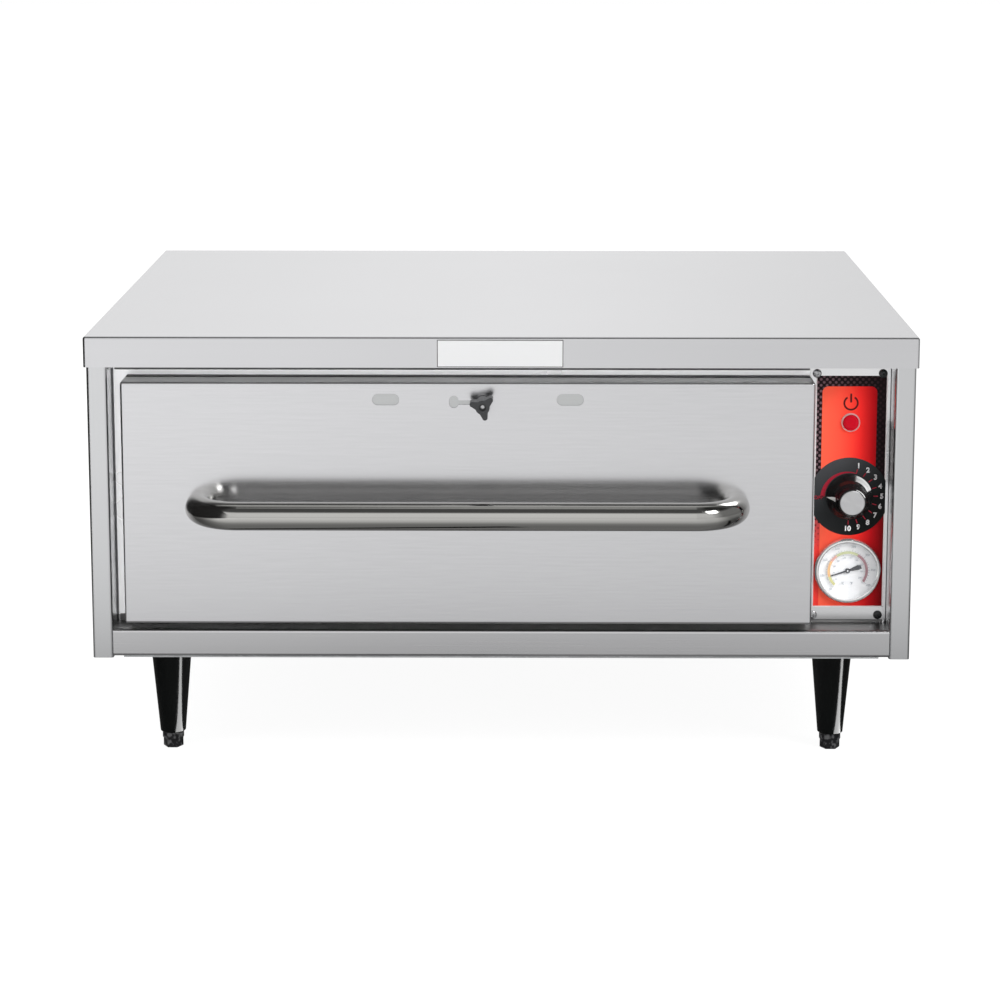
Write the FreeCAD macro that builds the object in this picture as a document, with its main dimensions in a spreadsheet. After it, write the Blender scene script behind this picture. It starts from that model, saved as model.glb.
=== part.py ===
import FreeCAD, Part
import math
import os
import re
import Sketcher

# A free-standing warming drawer: a sheet-steel cabinet on four legs, an insulated drawer front on
# telescopic roller slides with a full-size food pan, and a column of controls at the right.
# X runs to the right, Y to the back and Z up. The origin is under the middle, on the floor.

doc = FreeCAD.newDocument("warming_drawer")
sheet = doc.addObject("Spreadsheet::Sheet", "Sizes")

# Driving sizes in millimetres, and angles in degrees
SIZES = {
    # cabinet
    "cap_width": 752,
    "cap_depth": 578,
    "cap_front": 255,
    "cap_flange": 28,
    "cap_corner": 2.5,
    "cap_overhang": 2.3,
    "total_height": 400.2,
    "leg_height": 101.6,
    "wall": 1.2,
    "bend": 1.6,
    "stile_width": 18.7,
    "stile_setback": 1.3,
    "recess_depth": 31,
    "lip_return": 8,
    "rear_return": 20,
    "base_wall": 1.5,
    "rail_height": 25.3,
    "rail_lip": 18,
    "frame_lift": 5.8,
    # cavity
    "cavity_centre": -30,
    "cavity_width": 591,
    "cavity_floor": 150,
    "cavity_height": 198,
    "cavity_back": 285,
    "wrap_floor": 116,
    "wrap_back": 313,
    "compartment_left": 281,
    # controls
    "plate_right": 354.5,
    "plate_low": 131.5,
    "plate_top": 398,
    "print_left": 287,
    "print_right": 352,
    "print_low": 143.4,
    "print_top": 359.9,
    "print_wall": 0.4,
    "control_across": 318.8,
    "button_height": 316.8,
    "dial_height": 247.6,
    "gauge_height": 178,
    "screw_left": 287.5,
    "screw_right": 347.5,
    "screw_low": 135.7,
    "screw_top": 362.1,
    "screw_head": 4,
    "screw_shank": 1.9,
    # drawer
    "front_width": 624.6,
    "front_height": 223.5,
    "front_low": 136.7,
    "front_proud": 8,
    "front_gap": 1.5,
    "front_corner": 2.4,
    "vent_left": -103.3,
    "vent_right": 62.4,
    "vent_height": 344.7,
    "vent_reach": 14,
    "vent_radius": 5.25,
    "vent_open": 23,
    "stud_across": -16,
    "stud_height": 342.1,
    "stud_slot": 2,
    "key_across": -42.1,
    "key_radius": 4.3,
    # handle
    "grip_radius": 12.7,
    "grip_wall": 1.5,
    "grip_bend": 38.1,
    "grip_standoff": 48,
    "grip_centres": 482.6,
    # slides
    "slide_height": 302,
    "slide_front": -214,
    "slide_length": 450,
    "slide_travel": 190,
    "slide_wall": 1.5,
    "slide_zone": 13,
    "slide_inside": 16,
    "roller_radius": 12,
    "roller_width": 9,
    "roller_play": 0.3,
    "roller_pin": 3,
    "pin_play": 0.06,
    # food pan
    "rim_width": 530,
    "rim_depth": 325,
    "rim_corner": 40,
    "pan_front": -210,
    "pan_mouth_width": 500,
    "pan_mouth_depth": 300,
    "pan_lean": 15,
    "pan_corner": 34,
    "pan_deep": 150,
    "pan_wall": 1,
    # legs
    "leg_across": 309,
    "leg_front": -197,
    "leg_back": 265,
    "leg_top": 19.25,
    "leg_foot": 11.85,
    "foot_stud": 6,
    "foot_play": 0.06,
    # heating
    "element_radius": 4,
    "element_height": 163,
    "element_pitch": 70,
    "element_middle": -20,
}

# Places worked out from the sizes
PLACES = {
    "side_face": "cap_width / 2 - cap_overhang",
    "lip_face": "side_face - stile_width",
    "front_face": "-cap_front",
    "stile_face": "front_face + stile_setback",
    "rear_face": "cap_depth - cap_front",
    "back_face": "rear_face - wall",
    "recess_face": "front_face + recess_depth",
    "frame_face": "recess_face + wall",
    "frame_back": "frame_face + wall",
    "roof": "total_height - wall",
    "rail_low": "leg_height + base_wall",
    "rail_top": "rail_low + rail_height",
    "cavity_left": "cavity_centre - cavity_width / 2",
    "cavity_right": "cavity_centre + cavity_width / 2",
    "cavity_top": "cavity_floor + cavity_height",
    "panel_face": "front_face - front_proud",
    "panel_back": "recess_face - front_gap",
    "panel_left": "cavity_centre - front_width / 2",
    "panel_right": "cavity_centre + front_width / 2",
    "panel_top": "front_low + front_height",
    "panel_middle": "front_low + front_height / 2",
    "print_face": "recess_face - print_wall",
    "outer_web": "cavity_width / 2",
    "middle_web": "outer_web - slide_zone - slide_wall",
    "inner_web": "middle_web - slide_zone - slide_wall",
    "rail_face": "inner_web - slide_wall",
}


def bind(text):
    """The expression with every size named by its cell and every place worked out."""
    def replace(word):
        name = word[0]
        if name in PLACES:
            return "(" + bind(PLACES[name]) + ")"
        return "Sizes." + name if name in SIZES else name
    return re.sub(r"[a-z][a-z_]*", replace, str(text))


def value(text):
    """What an expression is worth now."""
    return float(sheet.evalExpression(bind(text)))


for row, (alias, number) in enumerate(SIZES.items(), 1):
    sheet.set(f"A{row}", alias)
    sheet.set(f"B{row}", str(number))
    sheet.setAlias(f"B{row}", alias)
doc.recompute()

nodes = []


def keep(item):
    """Mark an object as one of the pieces that the drawer is made of."""
    nodes.append(item)
    return item


# Sketches: each drawing function takes the sketch and binds what it draws to the sizes

def at(sketch, line, end, across, up):
    """Bind one point of a sketch to a place."""
    for kind, text in (("DistanceX", across), ("DistanceY", up)):
        number = sketch.addConstraint(Sketcher.Constraint(kind, -1, 1, line, end, value(text)))
        sketch.setExpression(f"Constraints[{number}]", bind(text))


def sized(sketch, line, text):
    """Bind the radius of an arc or circle to a size."""
    number = sketch.addConstraint(Sketcher.Constraint("Radius", line, value(text)))
    sketch.setExpression(f"Constraints[{number}]", bind(text))


def polygon(corners):
    def draw(sketch):
        first = sketch.GeometryCount
        count = len(corners)
        points = [FreeCAD.Vector(value(across), value(up), 0) for across, up in corners]
        for i in range(count):
            sketch.addGeometry(Part.LineSegment(points[i], points[(i + 1) % count]))
        for i in range(count):
            follower = first + (i + 1) % count
            sketch.addConstraint(Sketcher.Constraint("Coincident", first + i, 2, follower, 1))
        for i, (across, up) in enumerate(corners):
            at(sketch, first + i, 1, across, up)
    return draw


def rectangle(left, low, right, high):
    return polygon([(left, low), (right, low), (right, high), (left, high)])


def hexagon(corner):
    """A hexagon about the sketch's origin, from its corner radius."""
    half = f"({corner}) / 2"
    rise = f"({corner}) * sin(60)"
    return polygon([(corner, "0"), (half, rise), (f"-{half}", rise),
                    (f"-({corner})", "0"), (f"-{half}", f"-{rise}"), (half, f"-{rise}")])


def circle(across, up, radius):
    def draw(sketch):
        middle = FreeCAD.Vector(value(across), value(up), 0)
        line = sketch.addGeometry(Part.Circle(middle, FreeCAD.Vector(0, 0, 1), value(radius)))
        at(sketch, line, 3, across, up)
        sized(sketch, line, radius)
    return draw


def corner_arc(sketch, across, up, radius, start):
    """A quarter or half round of a loop, from a start angle in degrees."""
    middle = FreeCAD.Vector(value(across), value(up), 0)
    ring = Part.Circle(middle, FreeCAD.Vector(0, 0, 1), value(radius))
    first, last = start
    return sketch.addGeometry(Part.ArcOfCircle(ring, math.radians(first), math.radians(last)))


def loop_of_arcs(arcs):
    """A closed loop of arcs joined by tangent straight lines."""
    def draw(sketch):
        rounds = [corner_arc(sketch, *arc) for arc in arcs]
        count = len(arcs)
        for i in range(count):
            here, there = rounds[i], rounds[(i + 1) % count]
            start = sketch.getPoint(here, 2)
            end = sketch.getPoint(there, 1)
            line = sketch.addGeometry(Part.LineSegment(start, end))
            sketch.addConstraint(Sketcher.Constraint("Tangent", here, 2, line, 1))
            sketch.addConstraint(Sketcher.Constraint("Tangent", line, 2, there, 1))
        for ring, (across, up, radius, _) in zip(rounds, arcs):
            at(sketch, ring, 3, across, up)
            sized(sketch, ring, radius)
    return draw


def rounded(left, low, right, high, radius):
    near, far = f"{left} + {radius}", f"{right} - ({radius})"
    bottom, top = f"{low} + {radius}", f"{high} - ({radius})"
    return loop_of_arcs([
        (near, bottom, radius, (180, 270)),
        (far, bottom, radius, (270, 360)),
        (far, top, radius, (0, 90)),
        (near, top, radius, (90, 180)),
    ])


def slot(across, up, reach, radius):
    """A round-ended slot along the sketch's width, reach long between the ends' middles."""
    return loop_of_arcs([
        (f"{across} - ({reach}) / 2", up, radius, (90, 270)),
        (f"{across} + ({reach}) / 2", up, radius, (-90, 90)),
    ])


def upright_slot(across, up, reach, radius):
    return loop_of_arcs([
        (across, f"{up} - ({reach}) / 2", radius, (180, 360)),
        (across, f"{up} + ({reach}) / 2", radius, (0, 180)),
    ])


# Bodies and their features

NORMALS = {"XY": 1, "XZ": -1, "YZ": 1}


def settle(feature):
    """Work the document out and stop at a feature that fails."""
    doc.recompute()
    if "Invalid" in feature.State or "Error" in feature.State:
        raise RuntimeError(feature.Name + " fails")
    return feature


def new_body(label, across="0", back="0", up="0"):
    """An empty body that stands at a place."""
    body = doc.addObject("PartDesign::Body", label)
    body.Label = label
    for direction, text in (("x", across), ("y", back), ("z", up)):
        body.setExpression("Placement.Base." + direction, bind(text))
    return body


def origin(body, role):
    return next(item for item in body.Origin.OriginFeatures if item.Role == role)


def drawn(body, plane, place, loops):
    """A sketch on one of the body's own planes, moved along its normal to a place."""
    sketch = body.newObject("Sketcher::SketchObject", body.Label + "_sketch")
    sketch.AttachmentSupport = [(origin(body, plane + "_Plane"), "")]
    sketch.MapMode = "FlatFace"
    sign = "" if NORMALS[plane] > 0 else "-"
    sketch.setExpression("AttachmentOffset.Base.z", bind(f"{sign}({place})"))
    for loop in loops:
        loop(sketch)
    return settle(sketch)


def pad(body, plane, start, length, loops):
    """Extrude loops from the lower place along the plane's axis, whichever way its normal looks."""
    place = start if NORMALS[plane] > 0 else f"{start} + {length}"
    feature = body.newObject("PartDesign::Pad", body.Label + "_pad")
    feature.Profile = drawn(body, plane, place, loops)
    feature.setExpression("Length", bind(length))
    return settle(feature)


def pocket(body, plane, start, length, loops):
    """Cut loops out, from the lower place along the plane's axis."""
    before = body.Shape.Volume
    place = f"{start} + {length}" if NORMALS[plane] > 0 else start
    feature = body.newObject("PartDesign::Pocket", body.Label + "_pocket")
    feature.Profile = drawn(body, plane, place, loops)
    feature.setExpression("Length", bind(length))
    settle(feature)
    if body.Shape.Volume >= before:
        raise RuntimeError(body.Label + ": a pocket cuts nothing")
    return feature


def revolve(body, plane, profile):
    """Turn a profile of radius and height about the sketch's upright axis."""
    feature = body.newObject("PartDesign::Revolution", body.Label + "_turn")
    feature.Profile = drawn(body, plane, "0", [polygon(profile)])
    feature.ReferenceAxis = (feature.Profile[0], ["V_Axis"])
    feature.Angle = 360
    return settle(feature)


def fillet(body, radius, chosen):
    """Round the edges of the body's last feature that a test picks."""
    base = body.Tip
    names = [f"Edge{i}" for i, edge in enumerate(base.Shape.Edges, 1) if chosen(edge)]
    if not names:
        raise RuntimeError(body.Label + ": no edge to round")
    feature = body.newObject("PartDesign::Fillet", body.Label + "_round")
    feature.Base = (base, names)
    feature.setExpression("Radius", bind(radius))
    return settle(feature)


def pattern(body, feature, steps):
    """Repeat a feature in rows: each step is an axis with its reach and count."""
    transform = body.newObject("PartDesign::MultiTransform", body.Label + "_grid")
    transform.Originals = [feature]
    rows = []
    for axis, reach, count in steps:
        row = body.newObject("PartDesign::LinearPattern", body.Label + "_row")
        row.Direction = (origin(body, axis + "_Axis"), [""])
        row.setExpression("Length", bind(reach))
        row.Occurrences = count
        rows.append(row)
    transform.Transformations = rows
    body.Tip = transform
    return settle(transform)


def mirrored(body, features):
    """Repeat features on the other side of the body's own middle plane."""
    before = body.Shape.Volume
    transform = body.newObject("PartDesign::Mirrored", body.Label + "_mirror")
    transform.Originals = features
    transform.MirrorPlane = (origin(body, "YZ_Plane"), [""])
    body.Tip = transform
    settle(transform)
    if body.Shape.Volume < 1.9 * before:
        raise RuntimeError(body.Label + ": the mirror adds too little")
    return transform


def along(edge, direction):
    """Whether an edge is straight and parallel to a direction."""
    if not isinstance(edge.Curve, Part.Line):
        return False
    return abs(edge.Curve.Direction.dot(FreeCAD.Vector(*direction))) > 0.999


def flat_plate(label, plane, start, thickness, loops):
    body = new_body(label)
    pad(body, plane, start, thickness, loops)
    return keep(body)


AXES = {"XY": (0, 0, 1), "XZ": (0, 1, 0), "YZ": (1, 0, 0)}
IN_PLANE = {"XY": ("x", "y"), "XZ": ("x", "z"), "YZ": ("y", "z")}


def folded(body, plane, start, length, path, thickness, side=1):
    """Sheet metal folded along a path of corners, with its thickness on the path's right (side 1)."""
    moves = []
    for here, there in zip(path, path[1:]):
        across = value(there[0]) - value(here[0])
        up = value(there[1]) - value(here[1])
        reach = math.hypot(across, up)
        moves.append((side * up / reach, -side * across / reach))
    inner = []
    for i, (across, up) in enumerate(path):
        near = moves[max(i - 1, 0):i + 1]
        shift = [round(sum(part)) for part in zip(*near)]
        inner.append((f"{across} + ({shift[0]}) * {thickness}", f"{up} + ({shift[1]}) * {thickness}"))
    features = [pad(body, plane, start, length, [polygon(path + inner[::-1])])]
    outer_bends, inner_bends = [], []
    for i in range(1, len(path) - 1):
        before, after = moves[i - 1], moves[i]
        right_turn = side * (before[0] * after[1] - before[1] * after[0]) < 0
        corners = (path[i], inner[i]) if right_turn else (inner[i], path[i])
        outer_bends.append(corners[0])
        inner_bends.append(corners[1])
    for radius, corners in ((f"bend + {thickness}", outer_bends), ("bend", inner_bends)):
        places = [(value(across), value(up)) for across, up in corners]

        def is_bend(edge):
            if not along(edge, AXES[plane]):
                return False
            point = edge.Vertexes[0].Point
            across, up = (getattr(point, letter) for letter in IN_PLANE[plane])
            return any(math.hypot(across - a, up - b) < 0.01 for a, b in places)
        if places:
            features.append(fillet(body, radius, is_bend))
    return features


def tray(label, plane, start, depth, box, corner, open_low):
    """A pressed tray with rounded edges, open towards the lower or the higher end of its depth."""
    body = new_body(label)
    normal = FreeCAD.Vector(*AXES[plane])
    left, low, right, high = box
    inner_box = (f"{left} + wall", f"{low} + wall", f"{right} - wall", f"{high} - wall")
    outer_floor = f"{start} + {depth}" if open_low else start
    inner_start = start if open_low else f"{start} + wall"
    inner_floor = f"{start} + {depth} - wall" if open_low else inner_start

    def edges_at(place):
        def chosen(edge):
            ends = [vertex.Point.dot(normal) for vertex in edge.Vertexes]
            return all(abs(end - value(place)) < 0.01 for end in ends)
        return chosen
    pad(body, plane, start, depth, [rounded(*box, corner)])
    fillet(body, corner, edges_at(outer_floor))
    pocket(body, plane, inner_start, f"{depth} - wall", [rounded(*inner_box, f"{corner} - wall")])
    fillet(body, f"{corner} - wall", edges_at(inner_floor))
    return keep(body)


def block(label, left, front, low, wide, deep, high):
    item = doc.addObject("Part::Box", label)
    item.Label = label
    for name, text in (("Length", wide), ("Width", deep), ("Height", high)):
        item.setExpression(name, bind(text))
    for direction, text in (("x", left), ("y", front), ("z", low)):
        item.setExpression("Placement.Base." + direction, bind(text))
    return item


TURNS = {
    "X": FreeCAD.Rotation(FreeCAD.Vector(0, 1, 0), 90),
    "Y": FreeCAD.Rotation(FreeCAD.Vector(1, 0, 0), -90),
    "Z": FreeCAD.Rotation(),
}


def rod(label, axis, across, back, up, radius, length):
    """A cylinder that starts at a place and runs along a positive axis."""
    item = doc.addObject("Part::Cylinder", label)
    item.Label = label
    item.Placement = FreeCAD.Placement(FreeCAD.Vector(), TURNS[axis])
    item.setExpression("Radius", bind(radius))
    item.setExpression("Height", bind(length))
    for direction, text in (("x", across), ("y", back), ("z", up)):
        item.setExpression("Placement.Base." + direction, bind(text))
    return item


def cut(label, base, *tools):
    item = doc.addObject("Part::Cut", label)
    item.Label = label
    item.Base = base
    item.Tool = tools[0] if len(tools) == 1 else joined(label + "_tools", *tools)
    return item


def joined(label, *shapes):
    item = doc.addObject("Part::MultiFuse", label)
    item.Label = label
    item.Shapes = list(shapes)
    return item


def grouped(label, *shapes):
    item = doc.addObject("Part::Compound", label)
    item.Label = label
    item.Links = list(shapes)
    return item


def bent_wire(points, radius):
    """Straight runs joined by tangent arcs of one radius, through corner points."""
    corners = [FreeCAD.Vector(*(value(text) for text in point)) for point in points]
    edges = []
    start = corners[0]
    for before, corner, after in zip(corners, corners[1:], corners[2:]):
        back = (before - corner).normalize()
        ahead = (after - corner).normalize()
        half = back.getAngle(ahead) / 2
        reach = radius / math.tan(half)
        middle = (back + ahead).normalize()
        enter = corner + back * reach
        leave = corner + ahead * reach
        top = corner + middle * (radius / math.sin(half) - radius)
        if (enter - start).Length > 0.001:
            edges.append(Part.LineSegment(start, enter).toShape())
        edges.append(Part.Arc(enter, top, leave).toShape())
        start = leave
    edges.append(Part.LineSegment(start, corners[-1]).toShape())
    return Part.Wire(edges)


def bent_rod(label, points, bend_radius, radius):
    """A round rod or lead swept along straight runs and arcs."""
    path = doc.addObject("Part::Feature", label + "_path")
    path.Shape = bent_wire(points, value(bend_radius))
    first = path.Shape.Edges[0]
    start = first.valueAt(first.FirstParameter)
    ring = doc.addObject("Part::Circle", label + "_ring")
    ring.setExpression("Radius", bind(radius))
    ring.Placement = FreeCAD.Placement(start, FreeCAD.Rotation(FreeCAD.Vector(0, 0, 1),
                                                               first.tangentAt(first.FirstParameter)))
    sweep = doc.addObject("Part::Sweep", label)
    sweep.Label = label
    sweep.Sections = [ring]
    sweep.Spine = (path, [f"Edge{i}" for i in range(1, len(path.Shape.Edges) + 1)])
    sweep.Solid = True
    sweep.Frenet = False
    doc.recompute()
    run = path.Shape.Length * math.pi * value(radius) ** 2
    if abs(sweep.Shape.Volume / run - 1) > 0.02:
        raise RuntimeError(label + ": the sweep's volume is not its section times its length")
    return sweep


# Cap: one pressed tray, mouth down, that closes the top and hangs over the sides
cap_box = ("-cap_width / 2", "front_face", "cap_width / 2", "rear_face")
tray("top_cap", "XY", "total_height - cap_flange", "cap_flange", cap_box, "cap_corner", True)

rear_screw_across = "side_face - rear_return / 2 - 2"
rear_screw_low = "rail_low + 20"
rear_screw_pitch = "80"
rear_screw_holes = [
    circle(f"{sign}({rear_screw_across})", f"{rear_screw_low} + {step} * {rear_screw_pitch}",
           "screw_shank + 0.1")
    for sign in ("", "-") for step in range(4)
]

# Side panels: side, front stile, return lip and rear flange folded from one sheet each
for label, sign, side in (("side_panel_right", "", 1), ("side_panel_left", "-", -1)):
    corners = [
        (f"{sign}(side_face - rear_return)", "back_face"),
        (f"{sign}side_face", "back_face"),
        (f"{sign}side_face", "stile_face"),
        (f"{sign}lip_face", "stile_face"),
        (f"{sign}lip_face", "frame_back"),
        (f"{sign}(lip_face - lip_return)", "frame_back"),
    ]
    panel = new_body(label)
    folded(panel, "XY", "leg_height", "roof - cap_corner + wall - leg_height", corners, "wall", side)
    own_holes = rear_screw_holes[:4] if side > 0 else rear_screw_holes[4:]
    pocket(panel, "XZ", "back_face - wall - 0.2", "wall + 0.4", own_holes)
    keep(panel)

# Bottom rail between the stiles, and the base pan that carries the legs
rail = new_body("bottom_rail")
folded(rail, "YZ", "-lip_face", "2 * lip_face", [
    ("frame_back - wall", "rail_top"),
    ("stile_face", "rail_top"),
    ("stile_face", "rail_low"),
    ("stile_face + rail_lip", "rail_low"),
], "wall", -1)
keep(rail)

LEG_HOLE = "5"
base_inner = "lip_face - lip_return - wall"
base_outer = "side_face - wall"
base_front = "stile_face + 2 * wall"
base_shoulder = "frame_back + 2 * wall"
base_back = "back_face - wall - bend"
flat_plate("base_pan", "XY", "leg_height", "base_wall", [
    polygon([
        (f"-({base_inner})", base_front), (base_inner, base_front),
        (base_inner, base_shoulder), (base_outer, base_shoulder),
        (base_outer, base_back), (f"-({base_outer})", base_back),
        (f"-({base_outer})", base_shoulder), (f"-({base_inner})", base_shoulder),
    ]),
] + [
    circle(f"{sign}leg_across", back, LEG_HOLE)
    for sign in ("", "-") for back in ("leg_front", "leg_back")
])

# Rear panel, with the hole for the supply gland at the control side
GLAND = ("control_across", "150")
REAR_EDGE = "3.7"
rear_reach = f"side_face - {REAR_EDGE}"
flat_plate("rear_panel", "XZ", "back_face", "wall", [
    rectangle(f"-({rear_reach})", "rail_low + wall", rear_reach,
              "total_height - cap_flange - wall / 4"),
    circle(*GLAND, "10.3"),
] + rear_screw_holes)

# Front frame of the body behind the drawer front, open at the cavity and at the controls
HATCH_LOW = "145"
HATCH_TOP = "355"
flat_plate("face_frame", "XZ", "frame_face", "wall", [
    polygon([
        ("bend - lip_face", "rail_top + frame_lift"), ("compartment_left", "rail_top + frame_lift"),
        ("compartment_left", "rail_top"), ("lip_face - bend", "rail_top"),
        ("lip_face - bend", "roof"), ("bend - lip_face", "roof"),
    ]),
    rectangle("cavity_left", "cavity_floor", "cavity_right", "cavity_top"),
    rectangle("compartment_left + 10", HATCH_LOW, "lip_face - lip_return - 0.4", HATCH_TOP),
] + [
    circle(across, up, "screw_shank + 0.1")
    for across in ("screw_left", "screw_right") for up in ("screw_low", "screw_top")
])

# Cavity liner: five sheets behind the front frame
ELEMENT_HOLE = "element_radius + 0.5"
SENSOR_ACROSS = "257"
SENSOR_HEIGHTS = ("215", "240")
SENSOR_BACK = "20"
SENSOR_HOLE = "2.5"
element_ends = [(f"element_middle + ({sign}1.5) * element_pitch", "element_height") for sign in ("-", "")]
lead_holes = [circle(back, up, ELEMENT_HOLE) for back, up in element_ends]
lead_holes += [circle(SENSOR_BACK, up, SENSOR_HOLE) for up in SENSOR_HEIGHTS]
liner_length = "cavity_back - frame_back"
floor_box = rectangle("cavity_left - wall", "frame_back", "cavity_right + wall", "cavity_back")
flat_plate("liner_top", "XY", "cavity_top", "wall", [floor_box])
flat_plate("liner_bottom", "XY", "cavity_floor - wall", "wall", [floor_box])
side_box = rectangle("frame_back", "cavity_floor", "cavity_back", "cavity_top")
flat_plate("liner_left", "YZ", "cavity_left - wall", "wall", [side_box])
flat_plate("liner_right", "YZ", "cavity_right", "wall", [side_box] + lead_holes)
flat_plate("liner_rear", "XZ", "cavity_back", "wall", [
    rectangle("cavity_left - wall", "cavity_floor - wall", "cavity_right + wall", "cavity_top + wall"),
])

# Wall between the cavity's insulation and the control compartment
flat_plate("compartment_wall", "YZ", "compartment_left", "wall", [
    rectangle("frame_back", "rail_low", "back_face - wall", "roof"),
] + lead_holes)

# Mineral wool wrapped round the liner, one blanket a side
wrap_left = "-side_face + wall"
wrap_width = "compartment_left + side_face - wall"
wrap_front = "frame_back + wall"
wrap_deep = "wrap_back - frame_back - wall"
wrap_side_high = "cavity_height + 2 * wall"
top_wrap = block("wrap_top", wrap_left, wrap_front, "cavity_top + wall", wrap_width, wrap_deep,
                 "roof - cavity_top - wall")
low_wrap = block("wrap_low", wrap_left, wrap_front, "wrap_floor", wrap_width, wrap_deep,
                 "cavity_floor - wall - wrap_floor")
left_wrap = block("wrap_left", wrap_left, wrap_front, "cavity_floor - wall",
                  "cavity_left + side_face - 2 * wall", wrap_deep, wrap_side_high)
rear_wrap = block("wrap_rear", "cavity_left - wall", "cavity_back + wall", "cavity_floor - wall",
                  "cavity_width + 2 * wall", "wrap_back - cavity_back - wall", wrap_side_high)
right_block = block("wrap_right_block", "cavity_right + wall", wrap_front, "cavity_floor - wall",
                    "compartment_left - cavity_right - wall", wrap_deep, wrap_side_high)
right_bores = [rod(f"wrap_bore_{i}", "X", "cavity_right", back, up, ELEMENT_HOLE, "element_pitch")
               for i, (back, up) in enumerate(element_ends)]
right_bores += [rod(f"wrap_sensor_bore_{i}", "X", "cavity_right", SENSOR_BACK, up, SENSOR_HOLE,
                    "element_pitch") for i, up in enumerate(SENSOR_HEIGHTS)]
right_wrap = cut("wrap_right", right_block, *right_bores)
keep(grouped("cavity_insulation", top_wrap, low_wrap, left_wrap, rear_wrap, right_wrap))

# Control plate, screwed over the front frame, and the printed film on it
BEZEL_HOLE = "8.1"
SHAFT_HOLE = "4.6"
GAUGE_HOLE = "26.7"
control_holes = [
    circle("control_across", "button_height", BEZEL_HOLE),
    circle("control_across", "dial_height", SHAFT_HOLE),
    circle("control_across", "gauge_height", GAUGE_HOLE),
]
flat_plate("control_plate", "XZ", "recess_face", "wall", [
    rectangle("compartment_left", "plate_low", "plate_right", "plate_top"),
] + control_holes + [
    circle(across, up, "screw_shank + 0.1")
    for across in ("screw_left", "screw_right") for up in ("screw_low", "screw_top")
])
overlay = flat_plate("control_overlay", "XZ", "print_face", "print_wall", [
    rounded("print_left", "print_low", "print_right", "print_top", "1"),
    circle("control_across", "button_height", BEZEL_HOLE),
    circle("control_across", "dial_height", SHAFT_HOLE),
    circle("control_across", "gauge_height", GAUGE_HOLE),
])
pocket(overlay, "XZ", "print_face - 1", "print_wall + 2", [
    circle(across, "screw_top", "screw_head + 0.1") for across in ("screw_left", "screw_right")
])

# Pan-head screws: a turned head and shank, repeated at each place of a plate
HEAD_HIGH = "2.6"


def pan_screws(label, across, face, up, inward, shank, steps):
    """A grid of pan-head screws whose shanks point inward (1 to the back, -1 to the front)."""
    body = new_body(label, across, face, up)
    turned = revolve(body, "XY", [
        ("0", f"-({inward}) * {HEAD_HIGH}"),
        ("screw_head * 0.55", f"-({inward}) * {HEAD_HIGH}"),
        ("screw_head * 0.88", f"-({inward}) * {HEAD_HIGH} * 0.7"),
        ("screw_head", f"-({inward}) * {HEAD_HIGH} * 0.25"),
        ("screw_head", "0"),
        ("screw_shank", "0"),
        ("screw_shank", f"({inward}) * {shank}"),
        ("0", f"({inward}) * {shank}"),
    ])
    pattern(body, turned, steps)
    return keep(body)


pan_screws("control_plate_screws", "screw_left", "recess_face", "screw_low", 1, "(2 * wall)", [
    ("X", "screw_right - screw_left", 2), ("Z", "screw_top - screw_low", 2),
])

# Legs: tapered tubes with a threaded top stud that a nut holds above the base pan
LEG_END = "15.2"
LEG_CHAMFER = "0.8"
BORE_TOP = "80"
TOP_STUD = "4.8"
legs = new_body("legs", "-leg_across", "leg_front", "0")
leg = revolve(legs, "XZ", [
    ("foot_stud + foot_play", LEG_END),
    (f"leg_foot - {LEG_CHAMFER}", LEG_END),
    ("leg_foot", f"{LEG_END} + {LEG_CHAMFER}"),
    ("leg_top", "leg_height - 2"),
    ("leg_top", "leg_height"),
    (TOP_STUD, "leg_height"),
    (TOP_STUD, "wrap_floor - 1"),
    ("0", "wrap_floor - 1"),
    ("0", BORE_TOP),
    ("foot_stud + foot_play", BORE_TOP),
])
leg_grid = [("X", "2 * leg_across", 2), ("Y", "leg_back - leg_front", 2)]
pattern(legs, leg, leg_grid)
keep(legs)

NUT_CORNER = "8.2"
NUT_HIGH = "8"
leg_nuts = new_body("leg_nuts", "-leg_across", "leg_front", "0")
nut = pad(leg_nuts, "XY", "rail_low", NUT_HIGH, [hexagon(NUT_CORNER), circle("0", "0", TOP_STUD)])
pattern(leg_nuts, nut, leg_grid)
keep(leg_nuts)

# Levelling feet: a hexagon to turn by hand, a ring and a stud that screws into the leg
HEX_HIGH = "9.2"
HEX_CORNER = "9.3"
RING_RADIUS = "10"
RING_TOP = "14.8"
STUD_TOP = "65"
STUD_FOOT = "2"
for row_name, back in (("front", "leg_front"), ("rear", "leg_back")):
    for side_name, sign in (("left", "-"), ("right", "")):
        foot = new_body(f"foot_{row_name}_{side_name}", f"{sign}leg_across", back, "0")
        revolve(foot, "XZ", [
            ("0", STUD_FOOT), ("foot_stud", STUD_FOOT), ("foot_stud", HEX_HIGH), (RING_RADIUS, HEX_HIGH),
            (RING_RADIUS, RING_TOP), ("foot_stud", RING_TOP), ("foot_stud", STUD_TOP), ("0", STUD_TOP),
        ])
        pad(foot, "XY", "0", HEX_HIGH, [hexagon(HEX_CORNER)])
        fillet(foot, "0.8", lambda edge: all(vertex.Point.z < 0.01 for vertex in edge.Vertexes))
        keep(foot)

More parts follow.
